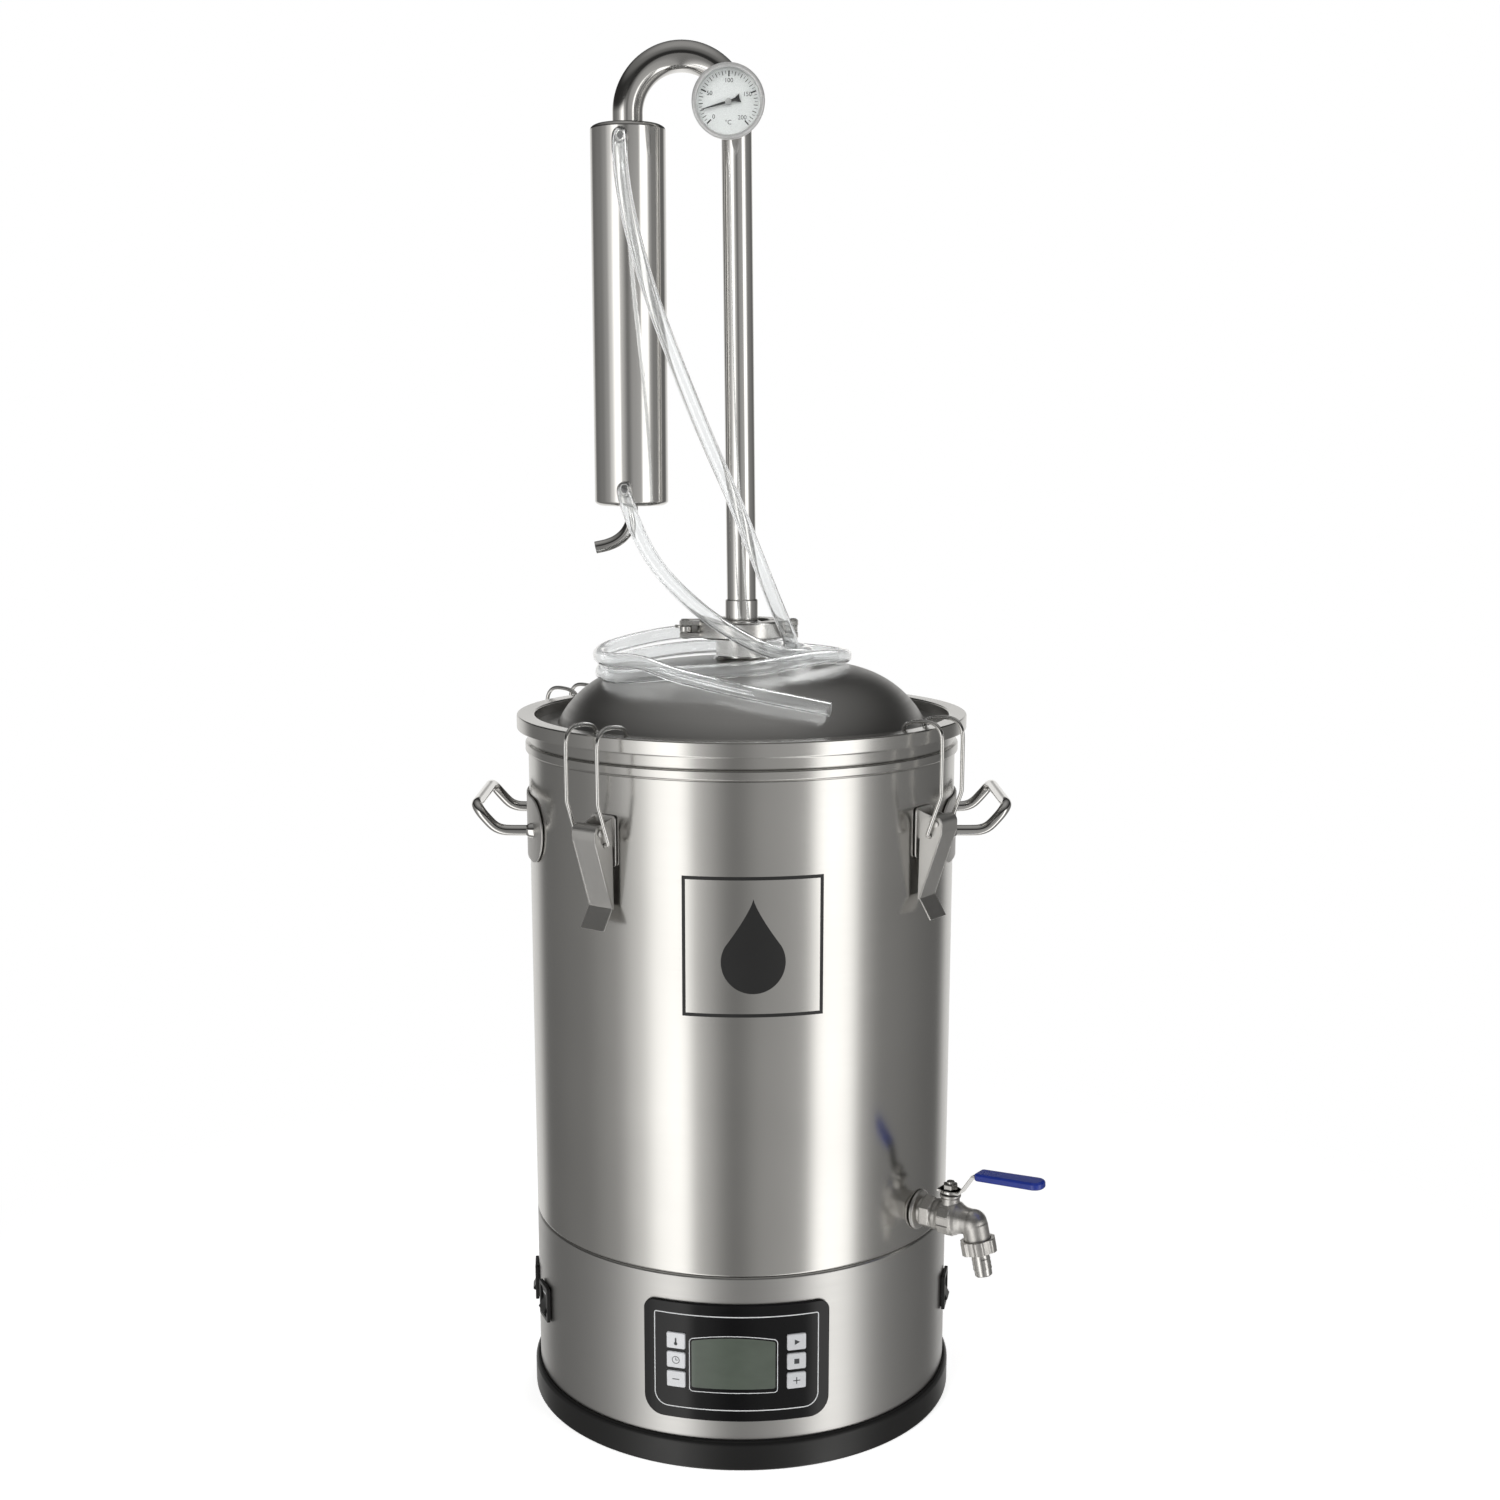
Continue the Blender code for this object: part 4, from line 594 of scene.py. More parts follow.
def foot_ring():
    profile = [
        (0.1500, 0), (FOOT_R - 0.0006, 0), (FOOT_R, 0.0012), (FOOT_R, FOOT_H - 0.0032),
        (FOOT_R - 0.0012, FOOT_H - 0.0006),
        (FOOT_R - 0.0026, FOOT_H), (BODY_R + GAP, FOOT_H), (BODY_R + GAP, CASING_BOTTOM - GAP),
        (0.1500, CASING_BOTTOM - GAP),
    ]
    piece("foot_ring_fine", turned(softened(profile, 0.0009), ROUND), FOOT_RUBBER, "kettle", "foot_ring")


def underside():
    cover = [(0, 0.0006), (0.030, 0.0006), (0.033, 0), (0.1350, 0), (0.1380, 0.0006), (0.1494, 0.0006),
             (0.1494, 0.0015),
             (0, 0.0015)]
    piece("bottom_cover_fine", turned(softened(cover, 0.0004), 96), SHEET_ALUMINIUM, "kettle", "bottom_cover")
    carried(SHEET_ALUMINIUM, "heating_element")
    carried(SATIN_BLACK, "thermal_cutout")
    carried(BOARD, "control_board")


def body_mark():
    """A plain square outline with a droplet in it, printed on the shell."""
    half, line = MARK_HALF, 0.0024
    square = [(half, half), (-half, half), (-half, -half), (half, -half)]
    inner = [(x * (1 - line / half), y * (1 - line / half)) for x, y in square]
    printed("mark_frame", raised(square, MARK_Z), MARK_AZ, BODY_R, MARK_INK, raised(inner, MARK_Z), SHELL_INK)
    belly, tip = 0.0225, 0.0340
    drop = arc((0, -0.0105), belly, 150, 390, 40)
    side = [(belly * math.cos(math.radians(30)) * (1 - t)**1.25,
             -0.0105 + belly / 2 + (tip + 0.0105 - belly / 2) * t)
            for t in [k / 12 for k in range(1, 12)]]
    outline = drop + side + [(0, tip)] + [(-x, y) for x, y in reversed(side)]
    printed("mark_droplet", raised(outline, MARK_Z), MARK_AZ, BODY_R, MARK_INK, None, SHELL_INK, 0.003)


# Control panel

def arched(half_w, low, high, rise, radius):
    """An outline with a crowned top edge."""
    middle, half_h = (low + high) / 2, (high - low) / 2
    points = rounded_box(half_w, half_h, radius, radius, 6)
    right, left = points[:7], points[7:14]
    top = [(right[-1][0] + (left[0][0] - right[-1][0]) * k / 16, right[-1][1]) for k in range(1, 16)]
    whole = right + top + left + points[14:]
    return [(x, y + middle + (rise * (1 - (x / half_w)**2) if y > 0 else 0)) for x, y in whole]


def panel():
    low, high = PANEL_Z
    middle, half_h = (low + high) / 2, (high - low) / 2
    plate = rounded_box(PANEL_HALF_W, half_h, 0.008, 0.015, 10)
    shape = eased(prism(plate, PANEL_IN - PANEL_R, 0.0, shift(0, middle, 0)), 0.0007, 3, 60)
    piece("panel_plate", bent(shape, PANEL_AZ, PANEL_R), GLOSS_BLACK, "kettle", "panel_bezel")
    outer, inner = [raised(rounded_box(PANEL_HALF_W - inset, half_h - inset, *corners, 10), middle)
                    for inset, corners in ((0.0084, (0.0018, 0.0105)), (0.0091, (0.0011, 0.0098)))]
    printed("panel_line", outer, PANEL_AZ, PANEL_R, LINE_INK, inner)
    outer, inner = arched(0.0321, 0.0596, 0.1002, 0.0035, 0.0026), arched(0.0316, 0.0601, 0.0997, 0.0035,
                                                                          0.0021)
    printed("window_line", outer, LCD_AZ, PANEL_R, LINE_INK, inner)
    film = arched(LCD_W / 2, 0.0628, 0.0986, 0.0034, 0.0014)
    piece("lcd_film", bent(prism(film, -0.0012, 0.00004), LCD_AZ, PANEL_R), LCD_FILM, "kettle", "lcd_window")


def icon_shapes():
    """One generic pictogram for each button: thermometer, clock, minus, play, stop, plus."""
    stem = rounded_box(0.0006, 0.0022, 0.0006, 0.0003, 4)
    bulb = arc((0, -0.0022), 0.0013, 0, 345, 23)
    ring_out, ring_in = arc((0, 0), 0.0029, 0, 345, 23), arc((0, 0), 0.0024, 0, 345, 23)
    bar = ((-0.0026, -0.00035), (0.0026, -0.00035), (0.0026, 0.00035), (-0.0026, 0.00035))
    post = tuple((y, x) for x, y in bar)
    low, high = 0.0, PANEL_INK
    return {
        1: [prism(stem, low, high), prism(bulb, low, high)],
        2: [prism(ring_out, low, high, None, ring_in),
            block((-0.00025, -0.0002, low), (0.00025, 0.0018, high)),
            block((-0.0002, -0.00025, low), (0.0014, 0.00025, high))],
        3: [prism(bar, low, high)],
        4: [prism(((-0.0016, -0.0021), (0.0024, 0), (-0.0016, 0.0021)), low, high)],
        5: [prism(((-0.0019, -0.0019), (0.0019, -0.0019), (0.0019, 0.0019), (-0.0019, 0.0019)), low, high)],
        6: [prism(bar, low, high), prism(post, low, 0.00011)],
    }


def buttons():
    icons = icon_shapes()
    for number in range(1, 7):
        azimuth, height = PANEL_AZ + (BUTTON_AZ if number > 3 else -BUTTON_AZ), BUTTON_Z[(number - 1) % 3]
        place = radial(azimuth) @ shift(0, 0, height) @ OUTWARD
        key = prism(rounded_box(BUTTON_SIZE[0] / 2, BUTTON_SIZE[1] / 2, 0.0013, 0.0013, 5), PANEL_IN + 0.0010,
                    PANEL_R + KEY_PROUD, place)
        body = f"button_{number}"
        piece(f"{body}_key", eased(key, 0.0006, 4, 50), SILVER_PAINT, body, body)
        icon = moved(merged(*icons[number]), place @ shift(0, 0, PANEL_R + KEY_PROUD - 0.00005))
        piece(f"{body}_icon", icon, ICON_INK, body)


def rockers():
    half_y, half_z = ROCKER_PLATE[0] / 2, ROCKER_PLATE[1] / 2
    for number, azimuth in enumerate(ROCKER_AZ, 1):
        place = radial(azimuth)
        face = place @ shift(0, 0, ROCKER_Z) @ OUTWARD
        outer = rounded_box(half_y, half_z, 0.0016, 0.0016, 4)
        inner = rounded_box(half_y - 0.0034, half_z - 0.0034, 0.0006, 0.0006, 4)
        plate = eased(prism(outer, BODY_R + GAP, BODY_R + 0.0030, face, inner), 0.0006, 3, 60)
        sleeve = prism(rounded_box(half_y - 0.0018, half_z - 0.0018, 0.0008, 0.0008, 4), 0.140,
                       BODY_R + 0.0010, face,
                       inner)
        back = block((0.1400, -half_y + 0.0030, ROCKER_Z - half_z + 0.0030),
                     (0.1436, half_y - 0.0030, ROCKER_Z + half_z - 0.0030), place)
        piece(f"rocker_frame_{number}_fine", merged(plate, sleeve, back), SATIN_BLACK, "kettle",
              f"rocker_frame_{number}")
        half = [(-0.0060, 0.0030), (-0.0050, 0.0078), (0.0074, 0.0090), (0.0088, 0.0082), (0.0073, 0.0040),
                (0.0064, 0.0)]
        level = [(x, -z) for x, z in half] + half[-2::-1]
        tilt = Matrix.Rotation(math.radians(ROCKER_TILT), 2)
        outline = [(ROCKER_PIVOT + p.x, ROCKER_Z + p.y) for p in [tilt @ Vector(q) for q in level]]
        shape = eased(prism(outline, -half_y + 0.0040, half_y - 0.0040, place @ SIDE), 0.0005, 3, 40)
        dash = [(0.0071, 0.0046), (0.0078, 0.0062), (0.0079, 0.0062), (0.0072, 0.0046)]
        line = [(ROCKER_PIVOT + p.x, ROCKER_Z + p.y) for p in [tilt @ Vector((x + 0.0004, y)) for x,
                                                               y in dash]]
        body = f"rocker_{number}"
        piece(f"{body}_fine", shape, SATIN_BLACK, body, body)
        piece(f"{body}_dash", prism(line, -0.0030, 0.0030, place @ SIDE), LINE_INK, body)


def power_inlet():
    place = radial(INLET_AZ) @ shift(0, 0, INLET_Z) @ OUTWARD
    outer, hole = rounded_box(0.0155, 0.0120, 0.002, 0.002, 5), rounded_box(0.0120, 0.0080, 0.0030, 0.0008, 5)
    flange = eased(prism(outer, BODY_R + GAP, BODY_R + 0.0028, place, hole), 0.0005, 3, 60)
    can = prism(rounded_box(0.0135, 0.0100, 0.0030, 0.0008, 5), 0.1360, BODY_R + 0.0010, place, hole)
    floor = prism(rounded_box(0.0128, 0.0092, 0.0030, 0.0008, 5), 0.1362, 0.1460, place)
    piece("power_inlet_fine", merged(flange, can, floor), SATIN_BLACK, "kettle", "power_inlet")
    pins = [block((y - 0.001, z - 0.002, 0.1450), (y + 0.001, z + 0.002, 0.1570), place)
            for y, z in ((-0.007, -0.003), (0.0, 0.003), (0.007, -0.003))]
    piece("inlet_pins", merged(*[eased(pin, 0.0004, 2) for pin in pins]), FERRULE_STEEL, "kettle")


# Handles and latches

def handle(name, azimuth):
    place = radial(azimuth)
    half_w, half_h = 0.074, 0.024
    plate = bent(eased(prism(rounded_box(half_w, half_h, 0.0235, 0.0235, 10), 0.0006, 0.0021,
                             shift(0, HANDLE_Z, 0)), 0.0007, 4, 60), azimuth, BODY_R, 0.004)
    root = math.sqrt(BODY_R**2 - HANDLE_HALF**2) + 0.0010
    bend = 0.182
    side = [
        (root, HANDLE_HALF, HANDLE_Z), (bend - 0.013, HANDLE_HALF, HANDLE_Z),
        (bend - 0.006, HANDLE_HALF, HANDLE_Z + 0.0006),
        (bend, HANDLE_HALF, HANDLE_Z + 0.0034),
        (HANDLE_REACH - 0.0065, HANDLE_HALF, HANDLE_Z + HANDLE_RISE - 0.0080),
        (HANDLE_REACH - 0.0030, HANDLE_HALF - 0.0008, HANDLE_Z + HANDLE_RISE - 0.0036),
        (HANDLE_REACH - 0.0008, HANDLE_HALF - 0.0040, HANDLE_Z + HANDLE_RISE - 0.0008),
        (HANDLE_REACH, HANDLE_HALF - 0.0110, HANDLE_Z + HANDLE_RISE),
        (HANDLE_REACH, HANDLE_HALF - 0.0240, HANDLE_Z + HANDLE_RISE),
    ]
    path = smooth_path(side + [(x, -y, z) for x, y, z in reversed(side)], 0.0025)
    rod = tube(path, [HANDLE_ROD_R] * len(path), 28, None, place)
    welds = []
    for way in (-1, 1):
        at = place @ shift(root, way * HANDLE_HALF, HANDLE_Z) @ rotate(90, "Y")
        ring = [(HANDLE_ROD_R - 0.0006, -0.0010), (HANDLE_ROD_R + 0.0022, -0.0010),
                (HANDLE_ROD_R + 0.0012, 0.0036),
                (HANDLE_ROD_R - 0.0006, 0.0058)]
        welds.append(turned(softened(ring, 0.0008), 28, at))
    piece(f"{name}_plate", plate, SHEET_STEEL, "kettle", name)
    piece(f"{name}_rod", merged(rod, *welds), PIPE_STEEL, "kettle")


def latch(number, azimuth):
    place = radial(azimuth)
    inner, sheet = BODY_R + 0.0005, 0.0014
    x, z = LATCH_PIVOT
    upright = place @ SIDE
    plate = eased(prism(rounded_box(0.0110, 0.01825, 0.0030, 0.0030, 6), inner, inner + sheet,
                        place @ shift(0, 0, 0.45825) @ OUTWARD), 0.0004, 2, 60)
    ear = [(inner + 0.0005, z - 0.013), (x + 0.0010, z - 0.0034)] + arc((x, z), 0.0034, -60, 90, 8)
    ear.append((inner + 0.0005, z + 0.0085))
    ears = [eased(prism(ear, *sorted((-way * 0.0082, -way * 0.0070)), upright), 0.0003, 2,
                  60) for way in (-1, 1)]
    pin = [(0, -0.0118), (0.0020, -0.0118), (0.0026, -0.0115), (0.0026, -0.0109), (0.0015, -0.0109),
           (0.0015, 0.0109), (0.0026, 0.0109), (0.0026, 0.0115), (0.0020, 0.0118), (0, 0.0118)]
    rivets = [turned([(0, 0.0), (0.0026, 0.0), (0.0022, 0.0008), (0.0010, 0.0012), (0, 0.0013)], 24,
                     place @ shift(inner + sheet, 0, height) @ rotate(90, "Y"))
              for height in (0.4455, 0.4690)]
    base = merged(plate, *ears, turned(pin, 24, place @ along_y(x, z)), *rivets)
    piece(f"latch_base_{number}_fine", base, SHEET_STEEL, "kettle", f"latch_base_{number}")

    foot, tip = (x - 0.0115, LEVER_TIP_Z + 0.0145), (x - 0.0020, LEVER_TIP_Z)
    strip = [tip, (x - 0.0033, LEVER_TIP_Z - 0.0004), (foot[0] - 0.0013, foot[1] + 0.0003),
             (x + 0.0043, z - 0.0058)]
    strip += arc((x, z), 0.0056 - LEVER_SHEET, 5, 175, 14) + arc((x, z), 0.0056, 175, 0, 14)
    strip += [(x + 0.0055, z - 0.0060), (x - 0.0108, LEVER_TIP_Z + 0.0166), foot]
    flare = (foot[1] + tip[1]) / 2
    web = prism(strip, -LEVER_HALF, LEVER_HALF, upright)
    web = eased(web, 0.0003, 2, 50)
    cheek = [(foot[0] + 0.0004, foot[1] + 0.0006), (foot[0] - 0.0018, flare + 0.0062),
             (x - 0.0125, z - 0.0080)]
    cheek += arc((x - 0.0050, z - 0.0030), 0.0072, 185, 100, 6) + arc((x, z), 0.0053, 80, 0, 6)
    cheek += [(x + 0.0052, z - 0.0060)]
    cheeks = []
    for way in (-1, 1):
        span = sorted((way * (LEVER_HALF - LEVER_SHEET), way * LEVER_HALF))
        flange = prism(cheek, *span, upright)
        holes = [cylinder(r, -0.02, 0.02, 20, place @ along_y(px, pz))
                 for (px, pz), r in ((LATCH_PIVOT, 0.0018), (BAIL_PIVOT, 0.0019))]
        cheeks.append(joined(f"cheek_{number}", [flange], holes))
    folds = []
    for way in (-1, 1):
        line = [(x + 0.0047, way * (LEVER_HALF - 0.0009), z - 0.0060),
                (x - 0.0116, way * (LEVER_HALF - 0.0009), LEVER_TIP_Z + 0.0166)]
        folds.append(tube(line, [0.0009, 0.0009], 16, None, place))
    lever = merged(web, *cheeks, *folds)
    body = f"latch_lever_{number}"
    piece(f"{body}_fine", lever, SHEET_STEEL, body, body)

    (bx, bz), (kx, kz) = BAIL_PIVOT, BAIL_KNEE
    top = CHANNEL[3]
    side = [
        (bx, LEVER_HALF - 0.0016, bz), (bx, BAIL_HALF - 0.0022, bz),
        (bx + 0.0001, BAIL_HALF - 0.0004, bz + 0.0008),
        (bx + 0.0009, BAIL_HALF, bz + 0.0030), (kx - 0.0022, BAIL_HALF, kz - 0.0056),
        (kx - 0.0005, BAIL_HALF, kz - 0.0008),
        (kx, BAIL_HALF, kz + 0.0040), (kx, BAIL_HALF, top - 0.0150), (kx - 0.0001, BAIL_HALF, top - 0.0060),
        (kx - 0.0014, BAIL_HALF, top + 0.0002), (kx - 0.0046, BAIL_HALF, top + 0.0042),
        (kx - 0.0090, BAIL_HALF, top + 0.0062), (0.1680, BAIL_HALF, top + 0.0066),
        (0.1600, BAIL_HALF, top + 0.0058),
        (0.1545, BAIL_HALF, top + 0.0038), (0.1514, BAIL_HALF - 0.0003, top + 0.0002),
        (0.1503, BAIL_HALF - 0.0028, top - 0.0032), (0.1502, BAIL_HALF - 0.0060, top - 0.0040),
    ]
    path = smooth_path(side + [(px, -py, pz) for px, py, pz in reversed(side)], 0.0016)
    wire = tube(path, [BAIL_WIRE] * len(path), 16, None, place)
    body = f"latch_bail_{number}"
    piece(f"{body}_fine", wire, WIRE_STEEL, body, body)


# Tap

def outlet():
    """The tap's outlet, with local +Z running down along it."""
    tilt = rotate(180 - TAP_TILT, "Y")
    return radial(TAP_AZ) @ shift(TAP_OUTLET_X, 0, TAP_Z) @ tilt


def hexagon(across_flats, turn=0.0):
    return arc((0, 0), across_flats / math.sqrt(3), turn, turn + 300, 5)


def tap():
    place = radial(TAP_AZ)
    axis = place @ along_x(TAP_Z)
    stem = place @ shift(TAP_STEM_X, 0, TAP_Z)
    flange = [(0.0050, 0.1430), (0.0100, 0.1430), (0.0100, 0.1603), (0.0148, 0.1603), (0.0150, 0.1612),
              (0.0140, 0.1626),
              (0.0095, 0.1634), (0.0095, 0.1660), (0.0050, 0.1660)]
    piece("tap_nipple_fine", turned(softened(flange, 0.0004), FINE, axis), CAST_STEEL, "kettle", "tap_nipple")
    nut = joined("locknut", [eased(prism(hexagon(0.027), 0.1490, 0.1560, axis), 0.0006, 3)],
                 [cylinder(0.0104, 0.14, 0.17, FINE, axis)])
    piece("tap_locknut_fine", nut, CAST_STEEL, "kettle", "tap_locknut")

    solids = [
        eased(prism(hexagon(0.0225), 0.1660, 0.1745, axis), 0.0005, 2),
        turned(softened([(0, 0.1738), (0.0108, 0.1738), (0.0118, 0.1765), (0.0118, 0.1800), (0.0126, 0.1812),
                         (0.0126, 0.1930), (0.0112, 0.1952), (0.0099, 0.1990), (0.0096, 0.2060),
                         (0, 0.2060)], 0.0008),
               FINE, axis),
        sphere(0.0100, 80, FINE,
               place @ shift(TAP_OUTLET_X - 0.0008, 0, TAP_Z)),
        cylinder(0.0096, 0.0010, 0.0175, FINE, outlet()),
        turned(softened([(0, 0.006), (0.0074, 0.006), (0.0068, 0.0160), (0.0068, 0.0176), (0, 0.0176)],
                        0.0008), FINE, stem),
        turned(softened([(0, 0.0158), (0.0078, 0.0158), (0.0078, 0.0182), (0, 0.0182)], 0.0005), FINE, stem),
    ]
    solids += [block((-0.0133, -0.0036, 0.1820), (0.0133, 0.0036, 0.1912), axis @ rotate(turn, "Z"))
               for turn in (0, 60, 120)]
    cuts = [cylinder(TAP_BORE, 0.16, 0.2075, COARSE, axis),
            cylinder(TAP_BORE, -0.0031, 0.03, COARSE, outlet()),
            cylinder(0.0034, 0.001, 0.030, COARSE, stem)]
    body = joined("tap_body_cast", solids, cuts, 0.00042, 5)
    seat = sphere(BALL_SEAT_R, 78, FINE, stem)
    body = joined("tap_body_bored", [body], [seat])
    piece("tap_body_fine", body, CAST_STEEL, "kettle", "tap_body", sharp=60.0)

    tail = [(0.0044, 0.0178), (0.0098, 0.0178), (0.0098, 0.0197), (0.0064, 0.0197), (0.0064, 0.0246),
            (0.0069, 0.0270),
            (0.0065, 0.0271), (0.0069, 0.0306), (0.0065, 0.0307), (0.0069, 0.0342), (0.0065, 0.0343),
            (0.0063, 0.0388),
            (0.0057, 0.0395), (0.0046, 0.0395), (0.0044, 0.0391)]
    piece("tap_hose_tail_fine", turned(tail, FINE, outlet()), FERRULE_STEEL, "kettle", "tap_hose_tail")
    ring = []
    for k in range(96):
        angle = 2 * math.pi * k / 96
        wave = 0.0128 + 0.0006 * max(-1.0, min(1.0, 3 * math.cos(6 * angle)))
        ring.append((wave * math.cos(angle), wave * math.sin(angle)))
    hole = arc((0, 0), 0.0101, 0, 356.25, 95)
    skirt = eased(prism(ring, 0.0120, 0.0220, outlet(), hole), 0.0005, 2, 60)
    lip = turned([(0.0071, 0.0201), (0.0106, 0.0201), (0.0106, 0.0221), (0.0071, 0.0221)], FINE, outlet())
    piece("tap_union_nut_fine", merged(skirt, lip), CAST_STEEL, "union_nut", "tap_union_nut")

    rod = turned(softened([(0, 0.0), (0.0030, 0.0), (0.0030, 0.0278), (0, 0.0278)], 0.0006), COARSE, stem)
    ball = sphere(BALL_R, 80, COARSE, stem)
    port = cylinder(TAP_BORE, 0.17, 0.21, COARSE, axis)
    piece("tap_stem_fine", joined("stem", [ball, rod], [port]), FERRULE_STEEL, "tap_handle", "tap_stem")
    low = TAP_Z + 0.0195
    nut = eased(prism(hexagon(0.0100), low + 0.0023, low + 0.0062, place @ shift(TAP_STEM_X, 0, 0)), 0.0005)
    piece("tap_stem_nut_fine", nut, FERRULE_STEEL, "tap_handle", "tap_stem_nut")
    thick = 0.0020
    rise = [(0.1805, low + thick), (0.1950, low + thick), (0.1962, low + thick + 0.0007),
            (0.2062, LEVER_TOP_Z - 0.0007),
            (0.2076, LEVER_TOP_Z), (TAP_LEVER_END - 0.004, LEVER_TOP_Z + LEVER_RISE)]
    outline = rise + [(px, pz - thick) for px, pz in reversed(rise)]
    arm = eased(prism(outline, -0.0055, 0.0055, place @ SIDE), 0.0004, 2, 60)
    washer = turned(softened([(0.0032, low), (0.0076, low), (0.0076, low + thick), (0.0032, low + thick)],
                             0.0003), COARSE,
                    place @ shift(TAP_STEM_X, 0, 0))
    stop = eased(block((0.1780, -0.0052, low), (0.1812, 0.0052, low + thick), place), 0.0003, 2)
    piece("tap_lever_fine", merged(arm, washer, stop), PIPE_STEEL, "tap_handle", "tap_lever")
    start, slope = 0.2085, LEVER_RISE / (TAP_LEVER_END - 0.2110)
    tilt = Matrix.Rotation(-math.atan(slope), 4, "Y")
    length, middle = TAP_LEVER_END - start, (start + TAP_LEVER_END) / 2
    far, near = (length / 2 - 0.0001 - 0.0072), -(length / 2 - 0.0001 - 0.0030)
    wide = arc((far, 0.0006), 0.0072, 0, 90, 8) + arc((near, 0.0042), 0.0030, 90, 180, 6)
    wide += [(x, -y) for x, y in reversed(wide)]
    centre = shift(middle, 0, LEVER_TOP_Z - 0.0010 + (middle - 0.2070) * slope)
    sleeve = eased(prism(wide, -0.0029, 0.0029, place @ centre @ tilt), 0.0019, 4, 60)
    piece("tap_lever_sleeve_fine", sleeve, BLUE_VINYL, "tap_handle", "tap_lever_sleeve")


# Lid

def dome_curve(sheet, steps):
    """Outer or inner surface of the crown and its knuckle, from the ferrule out to the trough."""
    centre_z = DOME_APEX - CROWN_R
    crown, knuckle = CROWN_R - sheet, KNUCKLE_R - sheet
    knuckle_x = DOME_R - KNUCKLE_R
    knuckle_z = centre_z + math.sqrt((CROWN_R - KNUCKLE_R)**2 - knuckle_x**2)
    tangent = math.degrees(math.atan2(knuckle_z - centre_z, knuckle_x))
    start = math.degrees(math.acos((FERRULE_BORE if sheet else FERRULE_R) / crown))
    floor = math.degrees(math.asin((TROUGH_Z + 0.0012 - sheet - knuckle_z) / knuckle))
    points = arc((0, centre_z), crown, start, tangent, steps)
    return points + arc((knuckle_x, knuckle_z), knuckle, tangent, floor, steps)[1:]


def lid():
    inner_r, outer_r, low, high = CHANNEL
    edge = [(DOME_R + 0.0012, TROUGH_Z), (inner_r + 0.0004, TROUGH_Z), (inner_r + 0.0004, TROUGH_Z - WALL),
            (DOME_R - 0.0006, TROUGH_Z - WALL)]
    dome = dome_curve(0.0, 28) + edge + list(reversed(dome_curve(WALL, 28)))
    piece("lid_dome_fine", turned(dome, ROUND), DOME_STEEL, "lid", "lid_dome")
    rim = [(inner_r, TROUGH_Z - WALL), (inner_r, high), (outer_r, high), (outer_r, low),
           (outer_r - WALL, low),
           (outer_r - WALL, high - WALL), (inner_r + WALL, high - WALL), (inner_r + WALL, TROUGH_Z - WALL)]
    piece("lid_rim", turned(softened(rim, 0.0013, 4), ROUND), BAND_STEEL, "lid")
    flange, foot = JOINT_Z - 0.0013, DOME_APEX - 0.0012
    ferrule = [(FERRULE_BORE, foot), (FERRULE_BORE, flange), (FLANGE_R, flange), (FLANGE_R, flange - 0.0018),
               (FERRULE_R, flange - 0.0040), (FERRULE_R, foot + 0.0030), (FERRULE_R + 0.0007, foot + 0.0016),
               (FERRULE_R + 0.0026, foot + 0.0005), (FERRULE_R + 0.0030, foot - 0.0002)]
    piece("lid_ferrule", turned(softened(ferrule, 0.0005), 96), FERRULE_STEEL, "lid")
    carried(SEAL, "lid_seal", "clamp_gasket")


# Column

